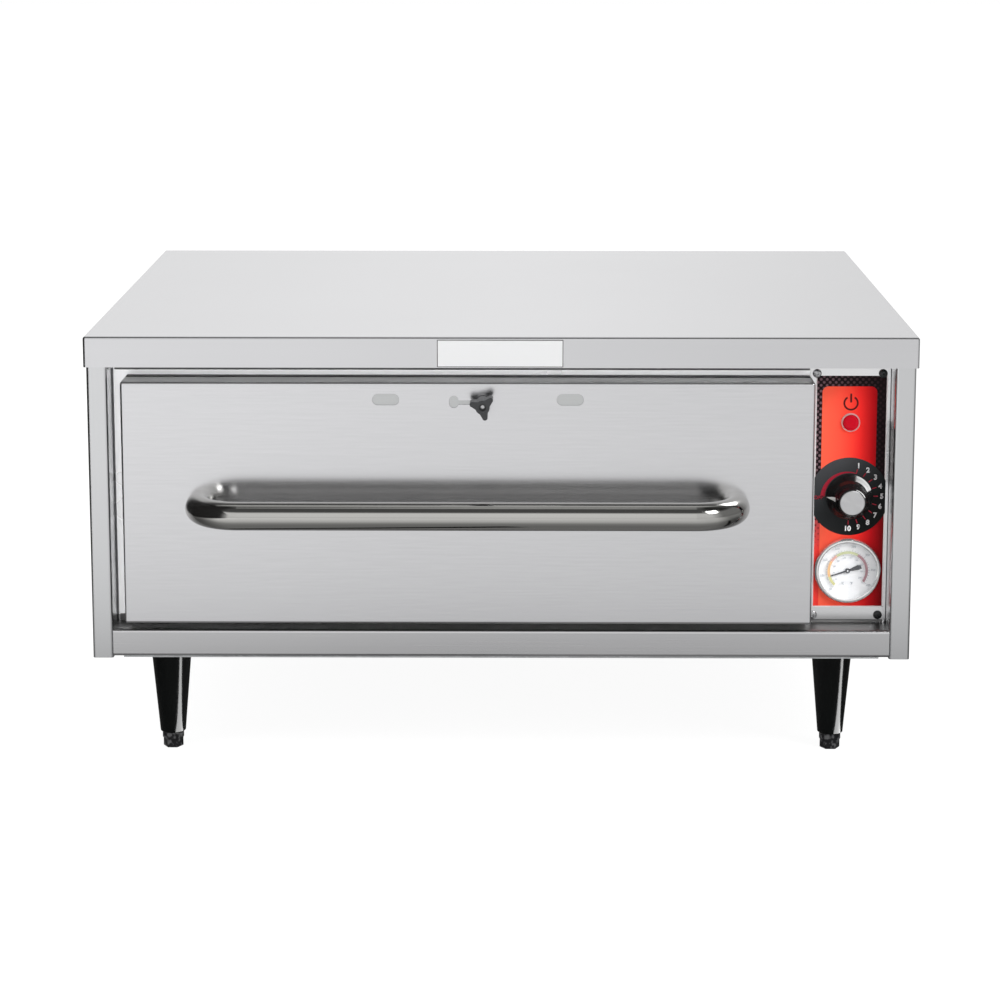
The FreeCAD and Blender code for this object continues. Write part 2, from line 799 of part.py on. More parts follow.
# Drawer front: an outer tray and an inner tray that close on each other, wool between them
shell_box = ("panel_left", "front_low", "panel_right", "panel_top")
panel_deep = "panel_back - panel_face"
shell = tray("drawer_front_shell", "XZ", "panel_face", panel_deep, shell_box, "front_corner", False)
GRIP_BOLT = "4.2"
grip_ends = [(f"cavity_centre {sign} grip_centres / 2", "panel_middle") for sign in ("-", "+")]
slot_left = "key_across"
slot_right = "stud_across + 2"
pocket(shell, "XZ", "panel_face - 1", "2 + wall / 2", [
    slot(across, "vent_height", "vent_reach", "vent_radius") for across in ("vent_left", "vent_right")
] + [circle(across, up, GRIP_BOLT) for across, up in grip_ends])
pocket(shell, "XZ", "panel_face - 1", "2 + wall / 2", [
    slot(f"({slot_left} + {slot_right}) / 2", "stud_height", f"{slot_right} - ({slot_left})",
         "stud_slot"),
])
pocket(shell, "XZ", "panel_face - 1", "2 + wall / 2", [
    upright_slot("key_across", "stud_height + 0.6", "2.7", "key_radius"),
])

LINER_HEM = "10"
liner_box = ("panel_left + wall", "front_low + wall", "panel_right - wall", "panel_top - wall")
liner = tray("drawer_front_liner", "XZ", f"panel_back - {LINER_HEM}", LINER_HEM, liner_box,
             "front_corner", True)
pocket(liner, "XZ", "panel_back - wall - 1", "wall + 2", [
    slot(across, "vent_height", "vent_reach", "vent_radius") for across in ("vent_left", "vent_right")
])

SHUTTER_LOW = "333.5"
WOOL_INSET = "4"
WOOL_TOP = f"{SHUTTER_LOW} - 3.5"
WELL_RADIUS = "9"
WELL_DEEP = "14"
wool = block("front_wool_block", f"panel_left + {WOOL_INSET}", "panel_face + wall",
             f"front_low + {WOOL_INSET}", f"front_width - 2 * {WOOL_INSET}",
             f"{panel_deep} - 2 * wall", f"{WOOL_TOP} - front_low - {WOOL_INSET}")
bolt_wells = [rod(f"bolt_well_{i}", "Y", across, "panel_face", up, WELL_RADIUS, WELL_DEEP)
              for i, (across, up) in enumerate(grip_ends)]
keep(cut("drawer_front_wool", wool, *bolt_wells))

# Handle: a tube bent twice, its ends plugged and bolted from behind the face sheet
handle = new_body("drawer_handle", "cavity_centre", "panel_face", "panel_middle")
spine = handle.newObject("Sketcher::SketchObject", "drawer_handle_spine")
spine.AttachmentSupport = [(origin(handle, "XY_Plane"), "")]
spine.MapMode = "FlatFace"
half_grip = value("grip_centres / 2")
standoff = value("grip_standoff")
bend_at = value("grip_bend")
far = FreeCAD.Vector(-half_grip, 0, 0)
knee = FreeCAD.Vector(-half_grip, bend_at - standoff, 0)
turn_left = FreeCAD.Vector(bend_at - half_grip, bend_at - standoff, 0)
turn_right = FreeCAD.Vector(half_grip - bend_at, bend_at - standoff, 0)
upward = FreeCAD.Vector(0, 0, 1)
left_stub = spine.addGeometry(Part.LineSegment(far, knee))
left_bend = spine.addGeometry(Part.ArcOfCircle(Part.Circle(turn_left, upward, bend_at),
                                               math.pi, 1.5 * math.pi))
bar = spine.addGeometry(Part.LineSegment(FreeCAD.Vector(bend_at - half_grip, -standoff, 0),
                                         FreeCAD.Vector(half_grip - bend_at, -standoff, 0)))
right_bend = spine.addGeometry(Part.ArcOfCircle(Part.Circle(turn_right, upward, bend_at),
                                                1.5 * math.pi, 2 * math.pi))
right_stub = spine.addGeometry(Part.LineSegment(FreeCAD.Vector(half_grip, bend_at - standoff, 0),
                                                FreeCAD.Vector(half_grip, 0, 0)))
chain = [(left_stub, 2, left_bend, 1), (left_bend, 2, bar, 1),
         (bar, 2, right_bend, 1), (right_bend, 2, right_stub, 1)]
for here, end, there, start in chain:
    spine.addConstraint(Sketcher.Constraint("Tangent", here, end, there, start))
at(spine, left_stub, 1, "-grip_centres / 2", "0")
at(spine, right_stub, 2, "grip_centres / 2", "0")
for ring, sign in ((left_bend, "-"), (right_bend, "")):
    at(spine, ring, 3, f"{sign}(grip_centres / 2 - grip_bend)", "grip_bend - grip_standoff")
doc.recompute()
tube = handle.newObject("PartDesign::AdditivePipe", "drawer_handle_tube")
tube.Profile = drawn(handle, "XZ", "0", [
    circle("-grip_centres / 2", "0", "grip_radius"),
    circle("-grip_centres / 2", "0", "grip_radius - grip_wall"),
])
tube.Spine = (spine, [f"Edge{i}" for i in range(1, 6)])
doc.recompute()
PLUG = "8"
for sign in ("-", ""):
    pad(handle, "XZ", f"-({PLUG})", PLUG, [
        circle(f"{sign}grip_centres / 2", "0", "grip_radius - grip_wall"),
        circle(f"{sign}grip_centres / 2", "0", "3"),
    ])
keep(handle)

bolts = new_body("handle_bolts", "cavity_centre - grip_centres / 2", "panel_face + wall", "panel_middle")
BOLT_LONG = "wall + 7"
BOLT_SHANK = "2.95"
BOLT_HEAD = "6.5"
BOLT_HEAD_HIGH = "4"
bolt = revolve(bolts, "XY", [
    ("0", f"-({BOLT_LONG})"), (BOLT_SHANK, f"-({BOLT_LONG})"), (BOLT_SHANK, "0"), (BOLT_HEAD, "0"),
    (BOLT_HEAD, BOLT_HEAD_HIGH), ("0", BOLT_HEAD_HIGH),
])
pattern(bolts, bolt, [("X", "grip_centres", 2)])
keep(bolts)

# Vent shutter behind the face sheet, with its ledge, stud and clamping knob
SHUTTER_HIGH = "22"
SHUTTER_WALL = "1"
shutter_face = "panel_face + wall + 0.3"
flat_plate("vent_shutter", "XZ", shutter_face, SHUTTER_WALL, [
    rectangle("vent_left - 30", SHUTTER_LOW, "vent_right + 50", f"{SHUTTER_LOW} + {SHUTTER_HIGH}"),
    slot("vent_left + vent_open", "vent_height", "vent_reach - 4.4", "vent_radius - 0.3"),
    slot("vent_right + vent_open", "vent_height", "vent_reach - 4.4", "vent_radius - 0.3"),
    circle("stud_across", "stud_height", "1.7"),
])
stud = new_body("vent_stud", "stud_across", "panel_face", "stud_height")
KNOB_DEEP = "24.5"
STUD_SHANK = "1.7"
STUD_HEAD = "4"
WASHER = "6"
stud_tip = f"-{KNOB_DEEP} + 4"
shutter_rear = f"wall + 0.3 + {SHUTTER_WALL}"
stud_rear = f"{shutter_rear} + 3.2"
revolve(stud, "XY", [
    ("0", stud_tip), (STUD_SHANK, stud_tip), (STUD_SHANK, "-1.3"), (WASHER, "-1.3"),
    (WASHER, "-0.3"), (STUD_SHANK, "-0.3"), (STUD_SHANK, shutter_rear), (STUD_HEAD, shutter_rear),
    (STUD_HEAD, stud_rear), ("0", stud_rear),
])
keep(stud)

# Knob on the stud: a round hub with three tapering lobes that end in round tips
HUB_RADIUS = "6.4"
LOBE_REACH = "9.5"
LOBE_RADIUS = "2.4"
LOBE_HIGH = "13"
LOBE_ROOT = "5.2"
ROOT_TURN = 62
TIP_TURN = 15
STUD_BORE = f"{STUD_SHANK} + 0.06"
NUT_RECESS = "3.4"
lobed = new_body("vent_knob", "stud_across", "panel_face", "stud_height")
pad(lobed, "XZ", f"-{KNOB_DEEP}", f"{KNOB_DEEP} - 1.6", [circle("0", "0", HUB_RADIUS)])
for angle in (43, 163, 283):
    flanks = [(LOBE_ROOT, -ROOT_TURN), (LOBE_REACH, -TIP_TURN),
              (LOBE_REACH, TIP_TURN), (LOBE_ROOT, ROOT_TURN)]
    pad(lobed, "XZ", f"-{KNOB_DEEP}", LOBE_HIGH, [
        polygon([(f"{reach} * cos({angle + turn})", f"{reach} * sin({angle + turn})")
                 for reach, turn in flanks]),
    ])
    pad(lobed, "XZ", f"-{KNOB_DEEP}", LOBE_HIGH, [
        circle(f"{LOBE_REACH} * cos({angle})", f"{LOBE_REACH} * sin({angle})", LOBE_RADIUS),
    ])
pocket(lobed, "XZ", f"-{KNOB_DEEP} - 1", f"{KNOB_DEEP} + 1", [circle("0", "0", STUD_BORE)])
pocket(lobed, "XZ", f"-{KNOB_DEEP} - 1", "3.5", [circle("0", "0", NUT_RECESS)])
keep(lobed)

# Drawer frame: two angles joined by a front and a rear bar, on which the pan's rim hangs
FRAME_HIGH = "40"
FRAME_LEDGE = "10.5"
frame_top = "slide_height + 24"
frame_low = f"{frame_top} - {FRAME_HIGH}"
pan_frame = new_body("drawer_frame", "cavity_centre", "0", "0")
angle_iron = folded(pan_frame, "XZ", "panel_back", "slide_front + slide_length - panel_back", [
    ("rail_face", frame_low), ("rail_face", frame_top), (f"rail_face - {FRAME_LEDGE}", frame_top),
], "slide_wall", -1)
mirrored(pan_frame, angle_iron)
bar_reach = "rail_face - slide_wall"
rear_bar = "pan_front + rim_depth + 6"
for back, up in (("panel_back", frame_low), (rear_bar, f"{frame_low} + 12")):
    pad(pan_frame, "YZ", f"-({bar_reach})", f"2 * ({bar_reach})", [
        rectangle(back, up, f"{back} + slide_wall", frame_top),
    ])
keep(pan_frame)

# Food pan: drawn sides, a rounded foot, and a rim whose turned-down edge rests on the frame
RIM_DROP = "4"
PAN_ROUND = "12"
rim_top = f"{frame_top} + {RIM_DROP}"
pan_foot = f"{rim_top} - pan_deep"
pan_middle = "pan_front + rim_depth / 2"


def pan_section(width, depth, corner, inset):
    return [rounded(f"-({width}) / 2 + {inset}", f"-({depth}) / 2 + {inset}",
                    f"({width}) / 2 - {inset}", f"({depth}) / 2 - {inset}", f"{corner} - {inset}")]


def pan_form(label, inset):
    """A block with the pan's leaning sides and rounded foot, set in for the pan's inside."""
    form = new_body(label, "cavity_centre", pan_middle, "0")
    foot = f"{pan_foot} + {inset}"
    feature = form.newObject("PartDesign::Pad", label + "_pad")
    feature.Profile = drawn(form, "XY", rim_top, pan_section("pan_mouth_width", "pan_mouth_depth",
                                                             "pan_corner", inset))
    feature.setExpression("Length", bind(f"pan_deep - {inset}"))
    feature.setExpression("TaperAngle", "-" + bind("atan(pan_lean / pan_deep)"))
    feature.Reversed = True
    settle(feature)
    fillet(form, f"{PAN_ROUND} - {inset}",
           lambda edge: all(abs(vertex.Point.z - value(foot)) < 0.01 for vertex in edge.Vertexes))
    return form


rim = ("rim_width", "rim_depth", "rim_corner")
rim_ring = new_body("food_pan_rim", "cavity_centre", pan_middle, "0")
pad(rim_ring, "XY", f"{rim_top} - {RIM_DROP}", RIM_DROP, pan_section(*rim, "0"))
fillet(rim_ring, "2.2",
       lambda edge: all(vertex.Point.z > value(rim_top) - 0.01 for vertex in edge.Vertexes))
pocket(rim_ring, "XY", f"{rim_top} - {RIM_DROP}", f"{RIM_DROP} - pan_wall", pan_section(*rim, "pan_wall"))
pan_outside = joined("food_pan_outside", pan_form("food_pan_form", "0"), rim_ring)
keep(cut("food_pan", pan_outside, pan_form("food_pan_hollow", "pan_wall")))
settle(nodes[-1])

# Telescopic slides: a cabinet channel, a middle member and a drawer member on each side.
# Each section is drawn for the right side, about the cavity's middle, and mirrored.
slide_outside = "slide_inside + slide_wall"
TONGUE_TOP = "14.1"
TONGUE_REACH = "12"
FLANGE_REACH = "11.5"
PIN_HEAD = "5"
high_roller = f"{TONGUE_TOP} - slide_wall - roller_play - roller_radius"
low_roller = "roller_play + roller_radius - slide_inside"
front_roller = "slide_front + 14"
rear_roller = "slide_front + slide_length - 14"
STOP_LONG = "8"
stop_back = f"{rear_roller} - slide_travel - roller_radius - roller_play - {STOP_LONG}"


def slide_body(label):
    return new_body(label, "cavity_centre", "0", "slide_height")


def member(body, loop):
    return pad(body, "XZ", "slide_front", "slide_length", [loop])


def riveted_pin(body, web, side, back, up):
    """A roller pin on a web with a head at its free end: side is the X direction it points in."""
    reach = "roller_width + 2"
    shank = web if side > 0 else f"{web} - ({reach})"
    head = f"{web} + {reach}" if side > 0 else f"{web} - ({reach}) - 0.8"
    return [pad(body, "YZ", shank, reach, [circle(back, up, "roller_pin")]),
            pad(body, "YZ", head, "0.8", [circle(back, up, PIN_HEAD)])]


def channel_loop(web, reach):
    """A channel open towards the cavity's middle, its web's back at web."""
    tip = f"{web} - ({reach})"
    hollow = f"{web} - slide_wall"
    return polygon([
        (tip, slide_outside), (web, slide_outside), (web, f"-({slide_outside})"),
        (tip, f"-({slide_outside})"), (tip, "-slide_inside"), (hollow, "-slide_inside"),
        (hollow, "slide_inside"), (tip, "slide_inside"),
    ])


def stop(body, web):
    """A pressed lug that the roller above it meets at full travel."""
    return pad(body, "YZ", f"{web} - slide_wall - 9", "6", [
        rectangle(stop_back, "-slide_inside", f"{stop_back} + {STOP_LONG}", "-slide_inside + 6"),
    ])


outer = slide_body("cabinet_slides")
outer_parts = [member(outer, channel_loop("outer_web", "slide_zone"))]
outer_parts += riveted_pin(outer, "outer_web - slide_wall", -1, front_roller, high_roller)
outer_parts.append(stop(outer, "outer_web"))
mirrored(outer, outer_parts)
keep(outer)

middle = slide_body("middle_slides")
tongue = f"middle_web + {TONGUE_REACH}"
middle_tip = f"middle_web - slide_wall - {FLANGE_REACH}"
middle_hollow = "middle_web - slide_wall"
middle_parts = [member(middle, polygon([
    (middle_tip, slide_outside), ("middle_web", slide_outside),
    ("middle_web", TONGUE_TOP), (tongue, TONGUE_TOP),
    (tongue, f"{TONGUE_TOP} - slide_wall"), ("middle_web", f"{TONGUE_TOP} - slide_wall"),
    ("middle_web", f"-({slide_outside})"), (middle_tip, f"-({slide_outside})"),
    (middle_tip, "-slide_inside"), (middle_hollow, "-slide_inside"),
    (middle_hollow, "slide_inside"), (middle_tip, "slide_inside"),
]))]
middle_parts += riveted_pin(middle, "middle_web", 1, rear_roller, low_roller)
middle_parts += riveted_pin(middle, middle_hollow, -1, front_roller, high_roller)
middle_parts.append(stop(middle, "middle_web"))
mirrored(middle, middle_parts)
keep(middle)

inner = slide_body("drawer_slides")
inner_tongue = f"inner_web + {TONGUE_REACH} - slide_wall"
inner_parts = [member(inner, polygon([
    ("inner_web - slide_wall", TONGUE_TOP), (inner_tongue, TONGUE_TOP),
    (inner_tongue, f"{TONGUE_TOP} - slide_wall"), ("inner_web", f"{TONGUE_TOP} - slide_wall"),
    ("inner_web", "-slide_inside"), ("inner_web - slide_wall", "-slide_inside"),
]))]
inner_parts += riveted_pin(inner, "inner_web", 1, rear_roller, low_roller)
mirrored(inner, inner_parts)
keep(inner)


def rollers(label, web, side, back, up):
    """A pair of plain rollers on the left and right pins, with rounded rims."""
    body = slide_body(label)
    near = f"{web} + 1" if side > 0 else f"{web} - 1 - roller_width"
    wheel = pad(body, "YZ", near, "roller_width", [
        circle(back, up, "roller_radius"), circle(back, up, "roller_pin + pin_play"),
    ])
    rim_length = value("2 * roller_radius") * math.pi
    rounding = fillet(body, "0.8", lambda edge: abs(edge.Length - rim_length) < 1)
    mirrored(body, [wheel, rounding])
    keep(body)


rollers("front_cabinet_rollers", "outer_web - slide_wall", -1, front_roller, high_roller)
rollers("rear_middle_rollers", "middle_web", 1, rear_roller, low_roller)
rollers("front_middle_rollers", middle_hollow, -1, front_roller, high_roller)
rollers("rear_drawer_rollers", "inner_web", 1, rear_roller, low_roller)

# Heating element: one tube bent to and fro under the pan, its ends in the control compartment
element_far = "cavity_left + 25"
element_near = "cavity_right - 25"
bend_back = [f"element_middle + ({step}) * element_pitch" for step in ("-1.5", "-0.5", "0.5", "1.5")]
element_out = "compartment_left + 18"
element = bent_rod("element_tube", [
    (element_out, bend_back[0], "element_height"),
    (element_far, bend_back[0], "element_height"),
    (element_far, bend_back[1], "element_height"),
    (element_near, bend_back[1], "element_height"),
    (element_near, bend_back[2], "element_height"),
    (element_far, bend_back[2], "element_height"),
    (element_far, bend_back[3], "element_height"),
    (element_out, bend_back[3], "element_height"),
], "element_pitch / 2 - 0.5", "element_radius")
terminals = [rod(f"element_terminal_{i}", "X", element_out, back, up, "1.6", "11")
             for i, (back, up) in enumerate(element_ends)]
keep(joined("heating_element", element, *terminals))

# Brackets that hold the element off the cavity floor
bracket_reach = "3 * element_pitch + 24"
brackets = []
for name, across in (("left", "cavity_left + 110"), ("right", "cavity_right - 110")):
    foot_strip = block(f"bracket_foot_{name}", across, "element_middle - 1.5 * element_pitch - 12",
                       "cavity_floor", "18", bracket_reach, "wall")
    web_strip = block(f"bracket_web_{name}", across, "element_middle - 1.5 * element_pitch - 12",
                      "cavity_floor", "wall", bracket_reach,
                      "element_height - element_radius - cavity_floor")
    brackets.append(joined(f"bracket_{name}", foot_strip, web_strip))
keep(grouped("element_brackets", *brackets))

# Thermostat: body on the plate's back, with the knob's spindle in its bushing
SPINDLE = "3"
SPINDLE_PLAY = "0.06"
BUSHING = "4.5"
COLLAR = "14"
THERMOSTAT_DEEP = "26"
TAB_LOW = "6"
TAB_HIGH = "12"
TAB_INSIDE = "12.8"
TAB_OUTSIDE = "14"
inner_front = "frame_back + 6"
thermostat_rear = f"{inner_front} + {THERMOSTAT_DEEP}"
thermostat = new_body("thermostat_body", "control_across", "0", "dial_height")
pad(thermostat, "XZ", inner_front, THERMOSTAT_DEEP, [rectangle("-21", "-20", "21", "20")])
fillet(thermostat, "3", lambda edge: along(edge, AXES["XZ"]))
revolve(thermostat, "XY", [
    ("0", inner_front), (COLLAR, inner_front), (COLLAR, "frame_back + 3"), ("9", "frame_face"),
    (BUSHING, "frame_face"), (BUSHING, "print_face - 0.4"), ("0", "print_face - 0.4"),
])
pocket(thermostat, "XZ", "print_face - 2", "34", [circle("0", "0", f"{SPINDLE} + {SPINDLE_PLAY}")])
pad(thermostat, "XZ", thermostat_rear, "9", [
    rectangle(f"-{TAB_OUTSIDE}", TAB_LOW, f"-{TAB_INSIDE}", TAB_HIGH),
    rectangle(TAB_INSIDE, TAB_LOW, TAB_OUTSIDE, TAB_HIGH),
])
keep(thermostat)

# Knob: a bell-shaped skirt and waist, with a shallow seat in its face for the metal cap
SKIRT = "21"
SEAT = "11.4"
SEAT_DEEP = "1.2"
SPINDLE_REACH = "18"
knob_back = "print_face - 0.6"
knob_tip = f"{knob_back} - 27"
seat_floor = f"{knob_tip} + {SEAT_DEEP}"
knob = new_body("thermostat_knob", "control_across", "0", "dial_height")
revolve(knob, "XY", [
    ("0", knob_back), (SKIRT, knob_back), (SKIRT, f"{knob_back} - 2.6"), ("19.2", f"{knob_back} - 4.4"),
    ("16.6", f"{knob_back} - 7.6"), ("14.6", f"{knob_back} - 11.6"), ("13.3", f"{knob_back} - 16.5"),
    ("12.6", f"{knob_tip} + 1"), ("11.9", knob_tip), (SEAT, knob_tip), (SEAT, seat_floor),
    ("0", seat_floor),
])
pocket(knob, "XZ", f"{knob_back} - {SPINDLE_REACH}", f"{SPINDLE_REACH} + 0.2", [circle("0", "0", SPINDLE)])
keep(knob)
CAP = f"{SEAT} - 0.1"
cap_front = f"{knob_tip} - 0.2"
knob_cap = new_body("knob_cap", "control_across", "0", "dial_height")
revolve(knob_cap, "XY", [
    ("0", seat_floor), (CAP, seat_floor), (CAP, f"{cap_front} + 0.3"), (f"{CAP} - 0.4", cap_front),
    ("0", cap_front),
])
keep(knob_cap)
keep(rod("thermostat_spindle", "Y", "control_across", f"{knob_back} - {SPINDLE_REACH}", "dial_height",
         SPINDLE, "46"))

# Power switch: a chrome bezel through the plate, a switch block behind and the lit button in it
BUTTON = "7.3"
BUTTON_BORE = f"{BUTTON} + 0.07"
BARREL = "8"
FLANGE = "8.75"
SWITCH_DEEP = "28"
PLUNGER = "2.9"
PLUNGER_REACH = "frame_back + 16"
button_back = "frame_back + 4.4"
bezel = new_body("switch_bezel", "control_across", "0", "button_height")
revolve(bezel, "XY", [
    (BUTTON_BORE, inner_front), (BUTTON_BORE, "print_face - 2.2"),
    ("7.9", "print_face - 2.6"), ("8.5", "print_face - 1.8"), (FLANGE, "print_face - 0.6"),
    (FLANGE, "print_face"), (BARREL, "print_face"), (BARREL, inner_front),
])
keep(bezel)
switch = new_body("switch_body", "control_across", "0", "button_height")
pad(switch, "XZ", inner_front, SWITCH_DEEP, [rectangle("-12", "-13", "12", "13")])
fillet(switch, "1.5", lambda edge: along(edge, AXES["XZ"]))
pocket(switch, "XZ", f"{inner_front} - 1", "17", [circle("0", "0", f"{PLUNGER} + 0.4")])
pocket(switch, "XZ", f"{inner_front} - 1", "5", [circle("0", "0", f"{BUTTON} + 0.5")])
for across in ("-8", "0", "8"):
    pad(switch, "XZ", f"{inner_front} + {SWITCH_DEEP}", "8", [
        rectangle(f"{across} - 2.4", "-0.4", f"{across} + 2.4", "0.4"),
    ])
keep(switch)
button = new_body("power_button", "control_across", "0", "button_height")
revolve(button, "XY", [
    ("0", "print_face - 4.6"), ("4.5", "print_face - 4.3"), ("6.6", "print_face - 3.6"),
    (BUTTON, "print_face - 2.6"), (BUTTON, button_back), (PLUNGER, button_back),
    (PLUNGER, PLUNGER_REACH), ("0", PLUNGER_REACH),
])
keep(button)

# Dial thermometer: case, bezel, dial with its pivot, lens and needle
GAUGE_CASE = "26.4"
GAUGE_RIM = "30.4"
GAUGE_LENS = "27.4"
GAUGE_MOUTH = "26.7"
GAUGE_OUTLET = "7"
PIVOT = "0.7"
gauge_rear = "frame_back + 25"
outlet_rear = f"{gauge_rear} + 6"
dial_face = "print_face - 0.6"
lens_face = "print_face - 4.2"
lens_back = f"{lens_face} + 1.2"
case = new_body("thermometer_case", "control_across", "0", "gauge_height")
revolve(case, "XY", [
    ("0", "print_face"), (GAUGE_CASE, "print_face"), (GAUGE_CASE, f"{gauge_rear} - 3"),
    ("24", gauge_rear), (GAUGE_OUTLET, gauge_rear), (GAUGE_OUTLET, outlet_rear), ("0", outlet_rear),
])
keep(case)
dial = new_body("thermometer_dial", "control_across", "0", "gauge_height")
revolve(dial, "XY", [
    ("0", "print_face"), (GAUGE_LENS, "print_face"), (GAUGE_LENS, dial_face),
    (PIVOT, dial_face), (PIVOT, f"{dial_face} - 2"), ("0", f"{dial_face} - 2"),
])
keep(dial)
rim_bezel = new_body("thermometer_bezel", "control_across", "0", "gauge_height")
revolve(rim_bezel, "XY", [
    (GAUGE_LENS, "print_face"), (GAUGE_RIM, "print_face"), (GAUGE_RIM, "print_face - 2.4"),
    ("29.8", "print_face - 4"), ("28.9", "print_face - 4.9"), ("27.7", "print_face - 5.1"),
    (GAUGE_MOUTH, f"{lens_face} - 0.4"), (GAUGE_MOUTH, lens_face), (GAUGE_LENS, lens_face),
])
keep(rim_bezel)
lens = new_body("thermometer_lens", "control_across", "0", "gauge_height")
revolve(lens, "XY", [
    ("0", lens_face), (GAUGE_LENS, lens_face), (GAUGE_LENS, lens_back), ("0", lens_back),
])
keep(lens)

# Needle: a tapered pointer with a broad tail and a hub, drawn at its own angle on the scale
NEEDLE_LEAN = "162"
NEEDLE_REACH = "18.5"
TAIL_REACH = "-11"
WAIST_REACH = "-3"
needle = new_body("thermometer_needle", "control_across", "0", "gauge_height")


def on_needle(reach, side):
    """A point a way along the pointer and a way to its side, turned back from the right."""
    across = f"({reach}) * cos({NEEDLE_LEAN}) + ({side}) * sin({NEEDLE_LEAN})"
    up = f"({side}) * cos({NEEDLE_LEAN}) - ({reach}) * sin({NEEDLE_LEAN})"
    return across, up


needle_back = "print_face - 1.9"
pad(needle, "XZ", needle_back, "0.5", [
    polygon([on_needle(TAIL_REACH, "-2.4"), on_needle(WAIST_REACH, "-1"),
             on_needle(NEEDLE_REACH, "-0.35"), on_needle(NEEDLE_REACH, "0.35"),
             on_needle(WAIST_REACH, "1"), on_needle(TAIL_REACH, "2.4")]),
])
pad(needle, "XZ", f"{needle_back} - 0.3", "1.2", [circle("0", "0", "2.3")])
pocket(needle, "XZ", f"{needle_back} - 1", "3", [circle("0", "0", f"{PIVOT} + 0.06")])
keep(needle)

# Sensing bulbs on the cavity's right wall, their capillaries and the clips that hold them
BULB = "3"
CAPILLARY = "0.8"
bulbs = []
for name, up, source in (("thermostat", SENSOR_HEIGHTS[0], "dial_height - 12"),
                         ("thermometer", SENSOR_HEIGHTS[1], "gauge_height")):
    bulb = rod(f"{name}_bulb", "Y", SENSOR_ACROSS, f"{SENSOR_BACK} - 130", up, BULB, "110")
    lead = bent_rod(f"{name}_capillary", [
        (SENSOR_ACROSS, f"{SENSOR_BACK} - 20", up), (SENSOR_ACROSS, SENSOR_BACK, up),
        ("compartment_left + 14", SENSOR_BACK, up), ("control_across", SENSOR_BACK, source),
        ("control_across", "frame_back + 32", source),
    ], "5", CAPILLARY)
    bulbs.append(joined(f"{name}_sensor", bulb, lead))
keep(grouped("sensing_bulbs", *bulbs))
clips = []
CLIP = "4.4"
CLIP_LONG = "9"
for name, up in (("low", SENSOR_HEIGHTS[0]), ("high", SENSOR_HEIGHTS[1])):
    for end, reach in (("front", "95"), ("back", "45")):
        tag = f"{name}_{end}"
        start = f"{SENSOR_BACK} - {reach}"
        stem = block(f"clip_stem_{tag}", SENSOR_ACROSS, start, f"{up} - {CLIP}",
                     f"cavity_right - {SENSOR_ACROSS}", CLIP_LONG, f"2 * {CLIP}")
        ring = rod(f"clip_ring_{tag}", "Y", SENSOR_ACROSS, start, up, CLIP, CLIP_LONG)
        eye = rod(f"clip_eye_{tag}", "Y", SENSOR_ACROSS, f"{start} - 1", up, BULB, f"{CLIP_LONG} + 2")
        clips.append(cut(f"clip_{tag}", joined(f"clip_blank_{tag}", stem, ring), eye))
keep(grouped("sensor_clips", *clips))

# Terminal block on the base pan, and the supply gland in the rear panel
terminal_back = "150"
TERMINAL_HIGH = "16"
POST_ACROSS = 8
base_block = block("terminal_base", "control_across - 16", terminal_back, "rail_low", "32", "54",
                   TERMINAL_HIGH)
posts = [rod(f"terminal_post_{side}_{back}", "Z", f"control_across + {side * POST_ACROSS}",
             f"{terminal_back} + {back}", f"rail_low + {TERMINAL_HIGH}", "3", "4")
         for back in (9, 27, 45) for side in (-1, 1)]
keep(joined("terminal_block", base_block, *posts))
gland = new_body("cable_gland", "control_across", "0", GLAND[1])
GLAND_BORE = "6.5"
GLAND_FLANGE = "15"
GLAND_THREAD = "10.2"
GLAND_NUT = "14"
gland_tip = "rear_face + 8"
nut_front = "back_face - 6"
revolve(gland, "XY", [
    (GLAND_BORE, gland_tip), ("9.4", gland_tip), ("10.6", f"{gland_tip} - 1.5"),
    ("12.4", "rear_face + 3"), (GLAND_FLANGE, "rear_face + 3"), (GLAND_FLANGE, "rear_face"),
    (GLAND_THREAD, "rear_face"), (GLAND_THREAD, "back_face"), (GLAND_NUT, "back_face"),
    (GLAND_NUT, nut_front), (GLAND_BORE, nut_front),
])
keep(gland)

# Internal leads from the terminal block to the switch, the thermostat and the element
LEAD = "1.3"
lead_foot = f"rail_low + {TERMINAL_HIGH} + 4"
lead_level = f"{lead_foot} + 12"
first_post = f"{terminal_back} + 9"
leads = []
for name, side, tab, riser, end, up in (
        ("switch", -1, "-8", "frame_back + 60", "frame_back + 42", "button_height"),
        ("thermostat", 1, "13.4", "frame_back + 80", "frame_back + 41", "dial_height + 9")):
    post = f"control_across + {side * POST_ACROSS}"
    tab_across = f"control_across + ({tab})"
    leads.append(bent_rod(f"{name}_lead", [
        (post, first_post, lead_foot), (post, first_post, lead_level),
        (tab_across, riser, lead_level), (tab_across, riser, up), (tab_across, end, up),
    ], "6", LEAD))
keep(grouped("internal_leads", *leads))

# Screws of the rear panel
pan_screws("rear_panel_screws", f"-({rear_screw_across})", "rear_face", rear_screw_low, -1, "6", [
    ("X", f"2 * ({rear_screw_across})", 2), ("Z", f"3 * {rear_screw_pitch}", 4),
])

# Every object is worked out and sound before anything is written
doc.recompute()
for item in doc.Objects:
    if "Invalid" in item.State or "Error" in item.State:
        raise RuntimeError(item.Name + " fails")
os.makedirs("parts", exist_ok=True)
for node in nodes:
    shape = node.Shape
    if shape.isNull() or not shape.isValid():
        raise RuntimeError(node.Label + " is not a sound shape")
    shape.exportStep(f"parts/{node.Label}.step")
    print(node.Label, len(shape.Solids), "solids", len(shape.Faces), "faces")
print(len(nodes), "nodes")
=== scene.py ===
import math

import bmesh
import bpy
from mathutils import Matrix, Vector


